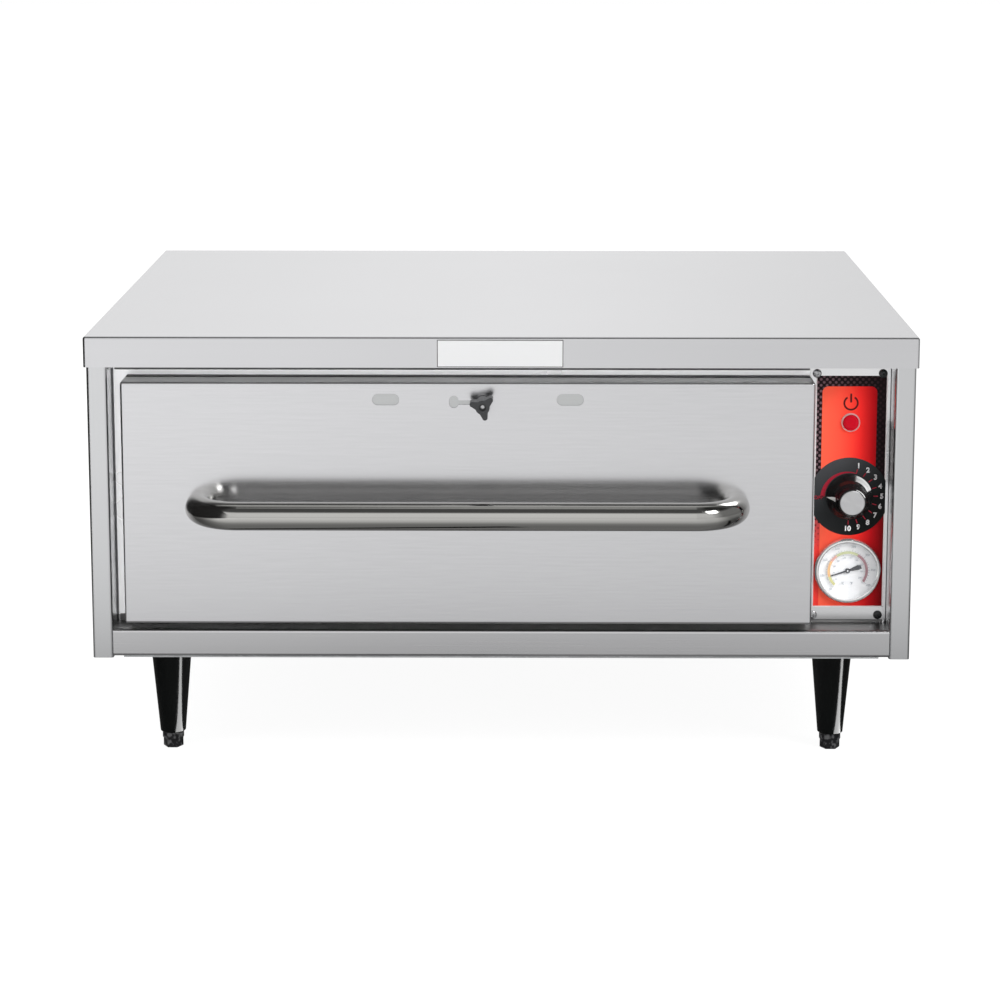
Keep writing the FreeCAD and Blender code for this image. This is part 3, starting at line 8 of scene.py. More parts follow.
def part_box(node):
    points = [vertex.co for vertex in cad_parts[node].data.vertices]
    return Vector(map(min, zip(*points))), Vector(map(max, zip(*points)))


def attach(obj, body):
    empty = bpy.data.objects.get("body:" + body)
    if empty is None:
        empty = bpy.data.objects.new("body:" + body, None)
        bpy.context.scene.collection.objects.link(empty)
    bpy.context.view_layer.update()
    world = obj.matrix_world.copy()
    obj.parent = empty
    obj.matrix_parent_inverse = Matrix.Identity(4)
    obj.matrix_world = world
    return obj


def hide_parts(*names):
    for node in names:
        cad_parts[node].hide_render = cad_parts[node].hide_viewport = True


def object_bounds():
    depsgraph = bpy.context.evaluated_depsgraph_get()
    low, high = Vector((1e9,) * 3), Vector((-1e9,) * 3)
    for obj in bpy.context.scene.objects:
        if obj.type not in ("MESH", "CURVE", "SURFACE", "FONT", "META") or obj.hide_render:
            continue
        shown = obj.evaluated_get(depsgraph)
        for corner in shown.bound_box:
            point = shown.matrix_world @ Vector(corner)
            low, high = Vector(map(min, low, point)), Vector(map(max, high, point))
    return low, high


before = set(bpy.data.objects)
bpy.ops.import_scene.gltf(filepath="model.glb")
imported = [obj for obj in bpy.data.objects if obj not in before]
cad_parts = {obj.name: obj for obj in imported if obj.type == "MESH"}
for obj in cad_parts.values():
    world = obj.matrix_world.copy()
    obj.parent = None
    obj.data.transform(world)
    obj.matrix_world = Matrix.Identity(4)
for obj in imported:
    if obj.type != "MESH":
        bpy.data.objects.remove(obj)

mm = 0.001
cad_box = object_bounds()


# The top cap is one sheet of stainless steel with its four edges folded down.
# Its face and its front flange carry a fine grain that runs across the cabinet.
# The sheet is about 1.2 mm thick and stands a little proud of the sides.
def wire(tree, kind, inputs=None, **settings):
    made = tree.nodes.new("ShaderNode" + kind)
    for key, setting in settings.items():
        setattr(made, key, setting)
    for key, source in (inputs or {}).items():
        if isinstance(source, bpy.types.NodeSocket):
            tree.links.new(source, made.inputs[key])
        else:
            made.inputs[key].default_value = source
    return made


def surface(name, colour, roughness, metallic=0.0, coat=0.0, gloss=0.5):
    material = bpy.data.materials.new(name)
    material.use_nodes = True
    tree = material.node_tree
    shader = tree.nodes["Principled BSDF"]
    shader.inputs["Base Color"].default_value = (*colour, 1)
    shader.inputs["Roughness"].default_value = roughness
    shader.inputs["Metallic"].default_value = metallic
    shader.inputs["Specular IOR Level"].default_value = gloss
    shader.inputs["Coat Weight"].default_value = coat
    shader.inputs["Coat Roughness"].default_value = 0.08
    place = wire(tree, "TexCoord").outputs["Object"]
    return material, tree, shader, place


def mixed(tree, factor, first, second):
    inputs = {"Factor": factor, "A": first, "B": second}
    return wire(tree, "Mix", inputs, data_type="RGBA").outputs["Result"]


def shaded_by(tree, factor, dark, light):
    return mixed(tree, factor, (*dark, 1), (*light, 1))


def noise(tree, place, scale, detail=3.0):
    stretched = wire(tree, "Mapping", {"Vector": place, "Scale": scale}).outputs[0]
    return wire(tree, "TexNoise", {"Vector": stretched, "Scale": 1.0, "Detail": detail}).outputs["Fac"]


def between(tree, factor, low, high, start=0.3, end=0.7):
    inputs = {"Value": factor, "From Min": start, "From Max": end, "To Min": low, "To Max": high}
    return wire(tree, "MapRange", inputs).outputs["Result"]


def combined(tree, operation, first, second):
    return wire(tree, "Math", {0: first, 1: second}, operation=operation).outputs[0]


def tint(tree, shader, colour):
    tree.links.new(colour, shader.inputs["Base Color"])


def dented(tree, shader, height, strength, depth):
    bump = wire(tree, "Bump", {"Height": height, "Strength": strength, "Distance": depth})
    tree.links.new(bump.outputs["Normal"], shader.inputs["Normal"])


def brushed_steel(name, colour, roughness, grain, streak=0.05, metallic=1.0):
    """Sheet with fine lines; grain is a pattern scale for each axis, streak how much the lines differ."""
    material, tree, shader, place = surface(name, colour, roughness, metallic)
    lines = noise(tree, place, grain, detail=5.0)
    clouds = noise(tree, place, (4, 4, 4), detail=2.0)
    both = combined(tree, "ADD", lines, clouds)
    dark = [part * (1 - streak) for part in colour]
    light = [part * (1 + streak) for part in colour]
    factor = between(tree, both, 0, 1, 0.7, 1.3)
    tint(tree, shader, shaded_by(tree, factor, dark, light))
    tree.links.new(between(tree, lines, roughness * 0.85, roughness * 1.15), shader.inputs["Roughness"])
    dented(tree, shader, lines, 0.12, 0.02 * mm)
    return material


def share_along(tree, place, axis, start, end):
    """0 up to the start and 1 from the end on, along one axis."""
    part = wire(tree, "SeparateXYZ", {"Vector": place}).outputs[axis]
    return wire(tree, "MapRange", {"Value": part, "From Min": start, "From Max": end}).outputs["Result"]


def dull_folds(material, node, edges, tone, dulled_roughness=0.36, reach=1.2 * mm):
    """Paints shade along a sheet's folded edges as a darker tone, and makes them rougher; edges are pairs of
    axis and end.
    """
    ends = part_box(node)
    tree = material.node_tree
    shader = tree.nodes["Principled BSDF"]
    place = wire(tree, "TexCoord").outputs["Object"]
    mask = 0.0
    for axis, end in edges:
        edge = ends[end]["XYZ".index(axis)]
        inner = edge - reach if end else edge + reach
        mask = combined(tree, "MAXIMUM", mask, share_along(tree, place, axis, inner, edge))
    brushed = shader.inputs["Base Color"].links[0].from_socket
    tint(tree, shader, mixed(tree, mask, brushed, (tone, tone, tone, 1)))
    smooth = shader.inputs["Roughness"].links[0].from_socket
    dulled = wire(tree, "Mix", {"Factor": mask, 2: smooth, 3: dulled_roughness}, data_type="FLOAT")
    tree.links.new(dulled.outputs[0], shader.inputs["Roughness"])


def dress(material, *names):
    for name in names:
        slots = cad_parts[name].data.materials
        slots.clear()
        slots.append(material)


grain_across = (3, 900, 900)
grain_upright = (900, 900, 3)
steel_tone = (0.70, 0.70, 0.715)
cap_steel = brushed_steel("brushed_cap", steel_tone, 0.22, grain_across, 0.02)
dress(cap_steel, "top_cap")


# A pale plate is glued to the middle of the cap's front flange and is left bare.
# It is a strip of satin aluminium with a raised rim, and a thin dark line shows round it.
cap_low, cap_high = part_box("top_cap")
plate_left, plate_right = -56.6 * mm, 55.4 * mm
plate_bottom, plate_top = 373.7 * mm, 397.2 * mm
plate_thickness = 0.8 * mm
plate_line, plate_line_height = 0.7 * mm, 0.3 * mm
plate_rim, plate_rim_height = 1.1 * mm, 0.15 * mm


def finish_piece(name, bm, material, body, slot, *replaced):
    bmesh.ops.remove_doubles(bm, verts=bm.verts, dist=0.5e-6)
    bm.normal_update()
    bmesh.ops.recalc_face_normals(bm, faces=bm.faces)
    mesh = bpy.data.meshes.new(name)
    bm.to_mesh(mesh)
    bm.free()
    mesh.materials.append(material)
    made = bpy.data.objects.new(name, mesh)
    bpy.context.scene.collection.objects.link(made)
    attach(made, body)
    if replaced:
        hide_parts(*replaced)


def upright_sheet(bm, left, right, bottom, top, front):
    """A flat rectangle that faces the front; returns its corners."""
    size = Matrix.Diagonal((right - left, top - bottom, 1, 1))
    middle = Matrix.Translation(((left + right) / 2, front, (bottom + top) / 2))
    placing = middle @ Matrix.Rotation(math.pi / 2, 4, "X") @ size
    return bmesh.ops.create_grid(bm, x_segments=1, y_segments=1, size=0.5, matrix=placing)["verts"]


def thicken(bm, thickness):
    """Gives every face of a flat sheet its thickness, towards the back."""
    grown = bmesh.ops.extrude_face_region(bm, geom=bm.faces[:])["geom"]
    moved = [part for part in grown if isinstance(part, bmesh.types.BMVert)]
    bmesh.ops.translate(bm, verts=moved, vec=(0, thickness, 0))


plate_face = brushed_steel("pale_plate", (0.92, 0.925, 0.93), 0.38, grain_across, 0.01, metallic=0.85)
line_ink = surface("plate_line_ink", (0.05, 0.05, 0.052), 0.35)[0]
plate = bmesh.new()
upright_sheet(plate, plate_left, plate_right, plate_bottom, plate_top, cap_low.y - plate_thickness)
bmesh.ops.inset_region(plate, faces=plate.faces[:], thickness=plate_rim)
plate_middle = max(plate.faces, key=lambda face: face.calc_area())
bmesh.ops.inset_region(plate, faces=[plate_middle], thickness=0.01 * mm, depth=plate_rim_height)
thicken(plate, plate_thickness)
finish_piece("name_plate_blank", plate, plate_face, "cabinet", "brushed_stainless")
edge = bmesh.new()
upright_sheet(edge, plate_left - plate_line, plate_right + plate_line, plate_bottom - plate_line,
              plate_top + plate_line, cap_low.y - plate_line_height)
thicken(edge, plate_line_height)
finish_piece("name_plate_edge", edge, line_ink, "cabinet", "screw_steel")


# The side panels fold round the front as stiles, and the bottom rail folds back into a shallow floor.
# They are the same stainless sheet as the cap, brushed up and down on the sides and across on the rail.
side_steel = brushed_steel("brushed_side", (0.68, 0.685, 0.695), 0.24, grain_upright, 0.02)
rail_steel = brushed_steel("brushed_rail", (0.67, 0.67, 0.68), 0.24, grain_across, 0.02)
dress(side_steel, "side_panel_left", "side_panel_right")
# The rail's top fold, the floor of the recess under the drawer, gets a dark painted shade.
dull_folds(rail_steel, "bottom_rail", (("Z", 1),), 0.22)
dress(rail_steel, "bottom_rail")


# The base pan, the rear panel and the inner walls are aluminised steel, which has a dull crystal bloom.
# The rear panel is held by eight pan head screws.
def pebbled(tree, shader, place, fineness, strength, depth):
    """Shallow dents without a direction."""
    dented(tree, shader, noise(tree, place, (fineness, fineness, fineness)), strength, depth)


def bloomed_sheet(name, colour, roughness):
    material, tree, shader, place = surface(name, colour, roughness, metallic=0.85)
    cells = wire(tree, "TexVoronoi", {"Vector": place, "Scale": 110.0}).outputs["Color"]
    flakes = wire(tree, "SeparateColor", {"Color": cells}).outputs[0]
    dark = [part * 0.86 for part in colour]
    light = [part * 1.08 for part in colour]
    tint(tree, shader, shaded_by(tree, flakes, dark, light))
    tree.links.new(between(tree, flakes, roughness * 0.85, roughness * 1.2, 0, 1), shader.inputs["Roughness"])
    pebbled(tree, shader, place, 60, 0.08, 0.1 * mm)
    return material


aluminised = bloomed_sheet("aluminised_steel", (0.56, 0.57, 0.58), 0.42)
dress(aluminised, "base_pan", "rear_panel", "liner_top", "liner_bottom", "liner_left", "liner_right",
      "liner_rear", "compartment_wall", "element_brackets")


# The face frame closes the gap between the casing and the lined cavity behind the drawer front.
# It is one bright stainless sheet, cut open for the drawer and for the controls.
def scuffed(tree, shader, place, fineness, low, high):
    """Roughness that wanders between two values."""
    wander = noise(tree, place, (fineness, fineness, fineness))
    tree.links.new(between(tree, wander, low, high), shader.inputs["Roughness"])


frame_steel, tree, shader, place = surface("satin_face_frame", (0.95, 0.95, 0.96), 0.30, metallic=0.45)
scuffed(tree, shader, place, 8, 0.27, 0.33)
dress(frame_steel, "face_frame")


# Thin dark strips on the face frame are painted shadow: one under the cap, one above the bottom rail below
# the drawer's opening, and a short one below the control plate.
cap_shadow_bottom, cap_shadow_top = 364.7 * mm, 366.9 * mm
sill_shadow_bottom, sill_shadow_top = 128.5 * mm, 135.2 * mm
shadow_strip_thickness, shadow_strip_end, short_shadow_strip_end = 0.3 * mm, 1 * mm, 5 * mm
frame_low, frame_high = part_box("face_frame")
plate_low, plate_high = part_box("control_plate")
shadow_strips = [(frame_low.x + shadow_strip_end, frame_high.x - shadow_strip_end, cap_shadow_bottom, cap_shadow_top),
               (frame_low.x + shadow_strip_end, plate_low.x - shadow_strip_end, sill_shadow_bottom, sill_shadow_top),
               (plate_low.x + short_shadow_strip_end, frame_high.x - shadow_strip_end, sill_shadow_bottom, plate_low.z - 0.3 * mm)]
shadow_strip_mesh = bmesh.new()
for left, right, bottom, top in shadow_strips:
    upright_sheet(shadow_strip_mesh, left, right, bottom, top, frame_low.y - shadow_strip_thickness)
thicken(shadow_strip_mesh, shadow_strip_thickness)
painted_shadow_grey = surface("painted_shadow_grey", (0.24, 0.24, 0.24), 0.5)[0]
finish_piece("frame_painted_shadow_strips", shadow_strip_mesh, painted_shadow_grey, "cabinet", "brushed_stainless")


# Mineral wool blankets fill the space round the liner and the hollow drawer front.
# The wool is coarse and matted, with tufts of darker fibres, and nothing but the sheets round it holds it.
def wool(name, colour):
    material, tree, shader, place = surface(name, colour, 0.95)
    fibres = noise(tree, place, (90, 900, 260), detail=6.0)
    tufts = noise(tree, place, (35, 35, 35), detail=4.0)
    dark = [part * 0.6 for part in colour]
    tint(tree, shader, shaded_by(tree, tufts, dark, colour))
    dented(tree, shader, fibres, 0.9, 1.5 * mm)
    return material


dress(wool("mineral_wool_fibre", (0.72, 0.63, 0.38)), "cavity_insulation", "drawer_front_wool")


# The control plate stands to the right of the drawer and is held by a screw at each corner.
# The heads are domed with a cross recess; the left pair is bright and the right pair is made dark.
dress(brushed_steel("brushed_control_plate", (0.88, 0.88, 0.89), 0.24, grain_across, 0.03), "control_plate")
head_radius, head_height, head_skirt = 4.0 * mm, 2.4 * mm, 0.9 * mm
recess_width, recess_length, recess_depth, recess_taper = 1.2 * mm, 4.4 * mm, 1.5 * mm, 0.45
screw_chrome, tree, shader, place = surface("screw_bright", (0.50, 0.50, 0.51), 0.20, metallic=1.0)
scuffed(tree, shader, place, 600, 0.14, 0.30)


def screw_head():
    """One domed head that faces the front, its seat at the origin, with a cross recess."""
    head = bmesh.new()
    bmesh.ops.create_uvsphere(head, u_segments=32, v_segments=16, radius=head_radius)
    bmesh.ops.bisect_plane(head, geom=head.verts[:] + head.edges[:] + head.faces[:],
                           plane_co=(0, 0, 0), plane_no=(0, 0, -1), clear_outer=True)
    rim = [e for e in head.edges if e.is_boundary]
    skirt = bmesh.ops.extrude_edge_only(head, edges=rim)["geom"]
    foot = [part for part in skirt if isinstance(part, bmesh.types.BMVert)]
    bmesh.ops.translate(head, verts=foot, vec=(0, 0, -head_skirt))
    bmesh.ops.holes_fill(head, edges=[e for e in head.edges if e.is_boundary])
    dome = (head_height - head_skirt) / head_radius
    for vert in head.verts:
        if vert.co.z > 0:
            vert.co.z *= dome
    bmesh.ops.translate(head, verts=head.verts, vec=(0, 0, head_skirt))
    cutter = bmesh.new()
    for turn in (0, math.pi / 2):
        bar = bmesh.ops.create_cube(cutter, size=1.0)["verts"]
        for vert in bar:
            if vert.co.z < 0:
                vert.co.x *= recess_taper
        size = Matrix.Diagonal((recess_length, recess_width, 2 * recess_depth, 1))
        place_bar = Matrix.Translation((0, 0, head_height)) @ Matrix.Rotation(turn, 4, "Z")
        bmesh.ops.transform(cutter, matrix=place_bar @ size, verts=bar)
    solids = []
    for label, part in (("head", head), ("recess", cutter)):
        mesh = bpy.data.meshes.new(label)
        bmesh.ops.recalc_face_normals(part, faces=part.faces)
        part.to_mesh(mesh)
        part.free()
        solids.append(bpy.data.objects.new(label, mesh))
        bpy.context.scene.collection.objects.link(solids[-1])
    cut = solids[0].modifiers.new("cut", "BOOLEAN")
    cut.object, cut.operation, cut.use_self = solids[1], "DIFFERENCE", True
    bpy.context.view_layer.update()
    shaped = bpy.data.meshes.new_from_object(solids[0].evaluated_get(bpy.context.evaluated_depsgraph_get()))
    for solid in solids:
        bpy.data.objects.remove(solid)
    return shaped


def screws(name, seats, facing, node, metal):
    """Copies of the head at each seat; facing is -1 for heads to the front and 1 for heads to the back."""
    bm = bmesh.new()
    head = screw_head()
    for number, seat in enumerate(seats):
        before = len(bm.verts)
        bm.from_mesh(head)
        bm.verts.ensure_lookup_table()
        turned = Matrix.Rotation(-facing * math.pi / 2, 4, "X") @ Matrix.Rotation(0.5 + 0.8 * number, 4, "Z")
        bmesh.ops.transform(bm, matrix=Matrix.Translation(seat) @ turned, verts=bm.verts[before:])
    finish_piece(name, bm, metal, "cabinet", "screw_steel", node)


def islands_of(node):
    """The lowest and the highest corner of each separate solid of a CAD node, sorted from the left."""
    bm = bmesh.new()
    bm.from_mesh(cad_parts[node].data)
    bmesh.ops.remove_doubles(bm, verts=bm.verts, dist=1e-6)
    left, found = set(bm.verts), []
    while left:
        queue, group = [left.pop()], []
        while queue:
            vert = queue.pop()
            group.append(vert.co.copy())
            for e in vert.link_edges:
                other = e.other_vert(vert)
                if other in left:
                    left.discard(other)
                    queue.append(other)
        low = Vector(min(co[i] for co in group) for i in range(3))
        high = Vector(max(co[i] for co in group) for i in range(3))
        found.append((low, high))
    bm.free()
    return sorted(found, key=lambda corners: corners[0][:])


def screw_seats(node, face):
    """The middle of each screw of a CAD node, on the face that its head sits on."""
    return [((low.x + high.x) / 2, face, (low.z + high.z) / 2) for low, high in islands_of(node)]


screw_dark, tree, shader, place = surface("screw_dark_right", (0.035, 0.036, 0.038), 0.3, metallic=0.6)
scuffed(tree, shader, place, 500, 0.22, 0.38)
front_seats = screw_seats("control_plate_screws", plate_low.y)
middle_x = (plate_low.x + plate_high.x) / 2
bright_seats = [seat for seat in front_seats if seat[0] < middle_x]
dark_seats = [seat for seat in front_seats if seat[0] > middle_x]
screws("control_plate_screw_heads", bright_seats, -1, "control_plate_screws", screw_chrome)
screws("control_plate_dark_screw_heads", dark_seats, -1, "control_plate_screws", screw_dark)
rear_seats = screw_seats("rear_panel_screws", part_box("rear_panel")[1].y)
screws("rear_panel_screw_heads", rear_seats, 1, "rear_panel_screws", screw_chrome)


# A printed polyester film covers the control plate: black with a screen of fine dots, and a red panel
# with round top corners. Lower down at the left the dots grow until the red takes over.
film_low, film_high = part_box("control_overlay")
layer = 0.06 * mm
dot_pitch = 3.85 * mm
red_left, red_right = 292.6 * mm, 342.5 * mm
red_top, red_corner = 350.2 * mm, 5.5 * mm
disc_radius = 36.4 * mm
line_below, line_left, line_right = 0.9 * mm, 0.7 * mm, 1.0 * mm
dots_start, dots_end = 260 * mm, 195 * mm
# The red and the dots darken from left to right: painted shade of the right stile on the recessed film.
red_painted_shade = [(0.0, (1.0, 0.14, 0.075)), (0.35, (1.0, 0.085, 0.05)), (0.62, (0.86, 0.025, 0.022)),
             (0.80, (0.50, 0.006, 0.01)), (1.0, (0.11, 0.002, 0.004))]
dot_greys_painted_shade = [(0.0, (0.20, 0.12, 0.14)), (0.5, (0.07, 0.04, 0.045)), (1.0, (0.016, 0.006, 0.009))]
dot_reds_painted_shade = [(0.0, (0.90, 0.05, 0.04)), (0.7, (0.45, 0.01, 0.012)), (1.0, (0.11, 0.002, 0.004))]
film_black = (0.010, 0.005, 0.006, 1)


def ramp(tree, factor, tones):
    made = wire(tree, "ValToRGB", {"Fac": factor})
    elements = made.color_ramp.elements
    while len(elements) < len(tones):
        elements.new(0.5)
    for element, (position, colour) in zip(elements, tones):
        element.position = position
        element.color = (*colour, 1)
    return made.outputs["Color"]


film_dots, tree, shader, place = surface("film_black_dots", (0.02, 0.017, 0.017), 0.26, gloss=0.05)
slanting = {"Vector": place, "Rotation": (0, math.pi / 4, 0), "Scale": [1 / dot_pitch, 0, 1 / dot_pitch]}
screen = {"Vector": wire(tree, "Mapping", slanting).outputs[0], "Scale": 1.0, "Randomness": 0.0}
centre_distance = wire(tree, "TexVoronoi", screen).outputs["Distance"]
fade = share_along(tree, place, "Z", dots_start, dots_end)
dot_size = between(tree, fade, 0.34, 0.72, 0, 1)
inside = combined(tree, "SUBTRACT", dot_size, centre_distance)
dot_mask = between(tree, inside, 0, 1, -0.06, 0.10)
from_left = share_along(tree, place, "X", film_low.x, film_high.x)
dot_grey = ramp(tree, from_left, dot_greys_painted_shade)
dot_red = ramp(tree, from_left, dot_reds_painted_shade)
film_tone = mixed(tree, dot_mask, film_black, mixed(tree, fade, dot_grey, dot_red))
tint(tree, shader, film_tone)
dress(film_dots, "control_overlay")

film_red, tree, shader, place = surface("film_red", red_painted_shade[0][1], 0.26, gloss=0.03)
from_left = share_along(tree, place, "X", film_low.x, film_high.x)
tint(tree, shader, ramp(tree, from_left, red_painted_shade))
pebbled(tree, shader, place, 220, 0.03, 0.05 * mm)
red = bmesh.new()
corners = upright_sheet(red, red_left, red_right, film_low.z, red_top, film_low.y - layer)
top_corners = [vert for vert in corners if vert.co.z > (film_low.z + red_top) / 2]
bmesh.ops.bevel(red, geom=top_corners, offset=red_corner, segments=10, profile=0.5, affect="VERTICES",
                material=-1)
thicken(red, layer)
finish_piece("film_red_panel", red, film_red, "cabinet", "printed_film")
knob_low, knob_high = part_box("thermostat_knob")
dial_centre = (knob_low + knob_high) / 2
wide = bmesh.new()
upright_sheet(wide, red_right, film_high.x, film_low.z, dial_centre.z, film_low.y - layer)
thicken(wide, layer)
finish_piece("film_red_foot", wide, film_red, "cabinet", "printed_film")
paper_white = surface("print_white", (0.88, 0.88, 0.87), 0.3)[0]
line = bmesh.new()
for left, right, bottom, top in ((film_low.x, film_high.x, film_low.z, film_low.z + line_below),
                                 (film_low.x, film_low.x + line_left, film_low.z, film_high.z),
                                 (film_high.x - line_right, film_high.x, film_low.z, film_high.z)):
    upright_sheet(line, left, right, bottom, top, film_low.y - 1.5 * layer)
thicken(line, layer)
border_white = surface("print_border", (0.80, 0.72, 0.72), 0.3)[0]
finish_piece("film_border_line", line, border_white, "cabinet", "printed_film")


# The thermostat's scale is printed on the film: a dark disc with plain numbers from 1 to 10, short ticks,
# and a red wedge that swells from low to OFF. The disc is cut off straight at the film's two long edges.
number_height = 4.7 * mm
number_radius = 30.0 * mm
first_number, number_step = 16.0, 18.3
tick_inner, tick_outer, tick_width = 22.4 * mm, 26.4 * mm, 0.8 * mm
wedge_inner, wedge_outer, wedge_start, wedge_end, wedge_taper = 22.0 * mm, 26.3 * mm, 270, 377, 0.12
off_height, off_bearing, off_radius = 3.4 * mm, 268, 28.0 * mm
number_weight, off_weight = 0.26 * mm, 0.1 * mm


def ring(bm, centre, inner, outer, start, end, front, taper=None):
    """A flat band round the centre that faces the front; angles are clockwise degrees from the top."""
    turn = math.radians(end - start)
    steps = max(2, int(abs(end - start) / 3))
    closed = abs(end - start) > 359.9
    first = Matrix.Rotation(math.radians(start), 4, "Y")
    ends = [bm.verts.new(Vector(centre) + first @ Vector((0, 0, radius))) for radius in (inner, outer)]
    for vert in ends:
        vert.co.y = front
    bar = bm.edges.new(ends)
    before = set(bm.verts) - set(ends)
    middle = Vector((centre[0], front, centre[2]))
    bmesh.ops.spin(bm, geom=[bar, *ends], cent=middle, axis=(0, 1, 0), angle=turn, steps=steps,
                   use_merge=closed, use_normal_flip=False)
    for vert in [v for v in bm.verts if v not in before] if taper else []:
        arm = vert.co - middle
        bearing = math.degrees(math.atan2(arm.x, arm.z))
        share = ((bearing - start) % 360) / (end - start)
        if arm.length > (inner + outer) / 2:
            arm.length = inner + (outer - inner) * (1 + (taper - 1) * share)
            vert.co = middle + arm


def bar_at(bm, centre, bearing, inner, outer, width, front, tip=None):
    """A flat straight mark that points away from the centre; tip is its width at the outer end."""
    corners = upright_sheet(bm, -width / 2, width / 2, inner, outer, 0)
    for vert in corners:
        if tip is not None and vert.co.z > (inner + outer) / 2:
            vert.co.x *= tip / width
    turned = Matrix.Rotation(math.radians(bearing), 4, "Y")
    bmesh.ops.transform(bm, matrix=Matrix.Translation((centre[0], front, centre[2])) @ turned, verts=corners)


def lettering(bm, text, middle, height, front, weight=0.0):
    """Plain characters that face the front, centred on a point; weight thickens the strokes."""
    curve = bpy.data.curves.new("characters", "FONT")
    curve.body, curve.size = text, height / 0.72
    curve.offset = weight
    curve.resolution_u = 4
    shown = bpy.data.objects.new("characters", curve)
    bpy.context.scene.collection.objects.link(shown)
    bpy.context.view_layer.update()
    mesh = bpy.data.meshes.new_from_object(shown)
    bpy.data.objects.remove(shown)
    before = len(bm.verts)
    bm.from_mesh(mesh)
    bm.verts.ensure_lookup_table()
    made = bm.verts[before:]
    low = Vector(min(v.co[i] for v in made) for i in range(3))
    high = Vector(max(v.co[i] for v in made) for i in range(3))
    facing_front = Matrix.Rotation(math.pi / 2, 4, "X") @ Matrix.Translation(-(low + high) / 2)
    placing = Matrix.Translation((middle[0], front, middle[1]))
    bmesh.ops.transform(bm, matrix=placing @ facing_front, verts=made)


def around(centre, bearing, radius):
    turn = math.radians(bearing)
    return centre[0] + radius * math.sin(turn), centre[2] + radius * math.cos(turn)


# The disc's ink is painted lighter at the top left and darker to the bottom right: painted light and shade.
disc_painted_light = [(0.0, (0.075, 0.076, 0.082)), (0.55, (0.03, 0.032, 0.034)), (1.0, (0.006, 0.007, 0.007))]
# The numbers' white is painted dimmer towards the right: painted shade.
number_painted_shade = [(0.0, (0.92, 0.92, 0.92)), (0.35, (0.80, 0.80, 0.80)), (1.0, (0.42, 0.40, 0.41))]
disc_ink, tree, shader, place = surface("disc_ink", (0.02, 0.022, 0.024), 0.26, gloss=0.06)
from_top = share_along(tree, place, "Z", dial_centre.z + disc_radius, dial_centre.z - disc_radius * 0.4)
from_left = share_along(tree, place, "X", film_low.x, film_high.x)
disc_light_share = between(tree, combined(tree, "ADD", from_top, from_left), 0, 1, 0, 1.6)
tint(tree, shader, ramp(tree, disc_light_share, disc_painted_light))
disc = bmesh.new()
bmesh.ops.create_circle(disc, cap_ends=True, segments=128, radius=disc_radius)
disc_place = Matrix.Translation((dial_centre.x, film_low.y - 2.2 * layer, dial_centre.z))
bmesh.ops.transform(disc, matrix=disc_place @ Matrix.Rotation(math.pi / 2, 4, "X"), verts=disc.verts)
for edge_x, side in ((film_low.x, -1), (film_high.x, 1)):
    bmesh.ops.bisect_plane(disc, geom=disc.verts[:] + disc.edges[:] + disc.faces[:], plane_co=(edge_x, 0, 0),
                           plane_no=(side, 0, 0), clear_outer=True)
thicken(disc, layer)
finish_piece("thermostat_scale_disc", disc, disc_ink, "cabinet", "printed_film")

mark_front = film_low.y - 3.2 * layer
numbers = bmesh.new()
for number in range(1, 11):
    middle = around(dial_centre, first_number + number_step * (number - 1), number_radius)
    lettering(numbers, str(number), middle, number_height, mark_front, number_weight)
thicken(numbers, layer)
number_ink, tree, shader, place = surface("number_ink", (0.9, 0.9, 0.9), 0.3, gloss=0.2)
from_middle = share_along(tree, place, "X", dial_centre.x, film_high.x)
tint(tree, shader, ramp(tree, from_middle, number_painted_shade))
finish_piece("thermostat_numbers", numbers, number_ink, "cabinet", "printed_film")
dull_red = surface("print_dull_red", (0.34, 0.012, 0.03), 0.3, gloss=0.1)[0]
marks = bmesh.new()
for number in range(10):
    bearing = first_number + number_step * number
    bar_at(marks, dial_centre, bearing, tick_inner, tick_outer, tick_width, mark_front)
ring(marks, dial_centre, wedge_inner, wedge_outer, wedge_start, wedge_end, mark_front, wedge_taper)
lettering(marks, "OFF", around(dial_centre, off_bearing, off_radius), off_height, mark_front, off_weight)
thicken(marks, layer)
finish_piece("thermostat_marks", marks, dull_red, "cabinet", "printed_film")


# The thermostat knob is a moulded phenolic bell with a spun aluminium cap let into its face.
# A white wedge filled into the skirt points at the scale.
phenolic, tree, shader, place = surface("phenolic_gloss", (0.006, 0.006, 0.0065), 0.22, gloss=0.5)
scuffed(tree, shader, place, 180, 0.18, 0.26)
dress(phenolic, "thermostat_knob")
spun_aluminium, tree, shader, place = surface("spun_aluminium_face", (0.66, 0.66, 0.67), 0.30, metallic=1.0)
shader.inputs["Anisotropic"].default_value = 0.85
turned_way = wire(tree, "Tangent", direction_type="RADIAL", axis="Y").outputs[0]
tree.links.new(turned_way, shader.inputs["Tangent"])
knob_centred = wire(tree, "Mapping", {"Vector": place, "Location": (-dial_centre.x, 0, -dial_centre.z)})
turning = {"Vector": knob_centred.outputs[0], "Scale": 900.0, "Distortion": 0.6}
circles = wire(tree, "TexWave", turning, wave_type="RINGS", rings_direction="Y")
dented(tree, shader, circles.outputs["Fac"], 0.06, 0.02 * mm)
dress(spun_aluminium, "knob_cap")
pointer_inner, pointer_outer, pointer_width, pointer_tip = 14.0 * mm, 20.6 * mm, 4.2 * mm, 0.4 * mm
pointer_proud, pointer_thickness = 0.12 * mm, 0.3 * mm
pointer = bmesh.new()
bar_at(pointer, dial_centre, 270, pointer_inner, pointer_outer, pointer_width, 0, pointer_tip)
bmesh.ops.subdivide_edges(pointer, edges=pointer.edges[:], cuts=5, use_grid_fill=True)
bpy.context.view_layer.update()
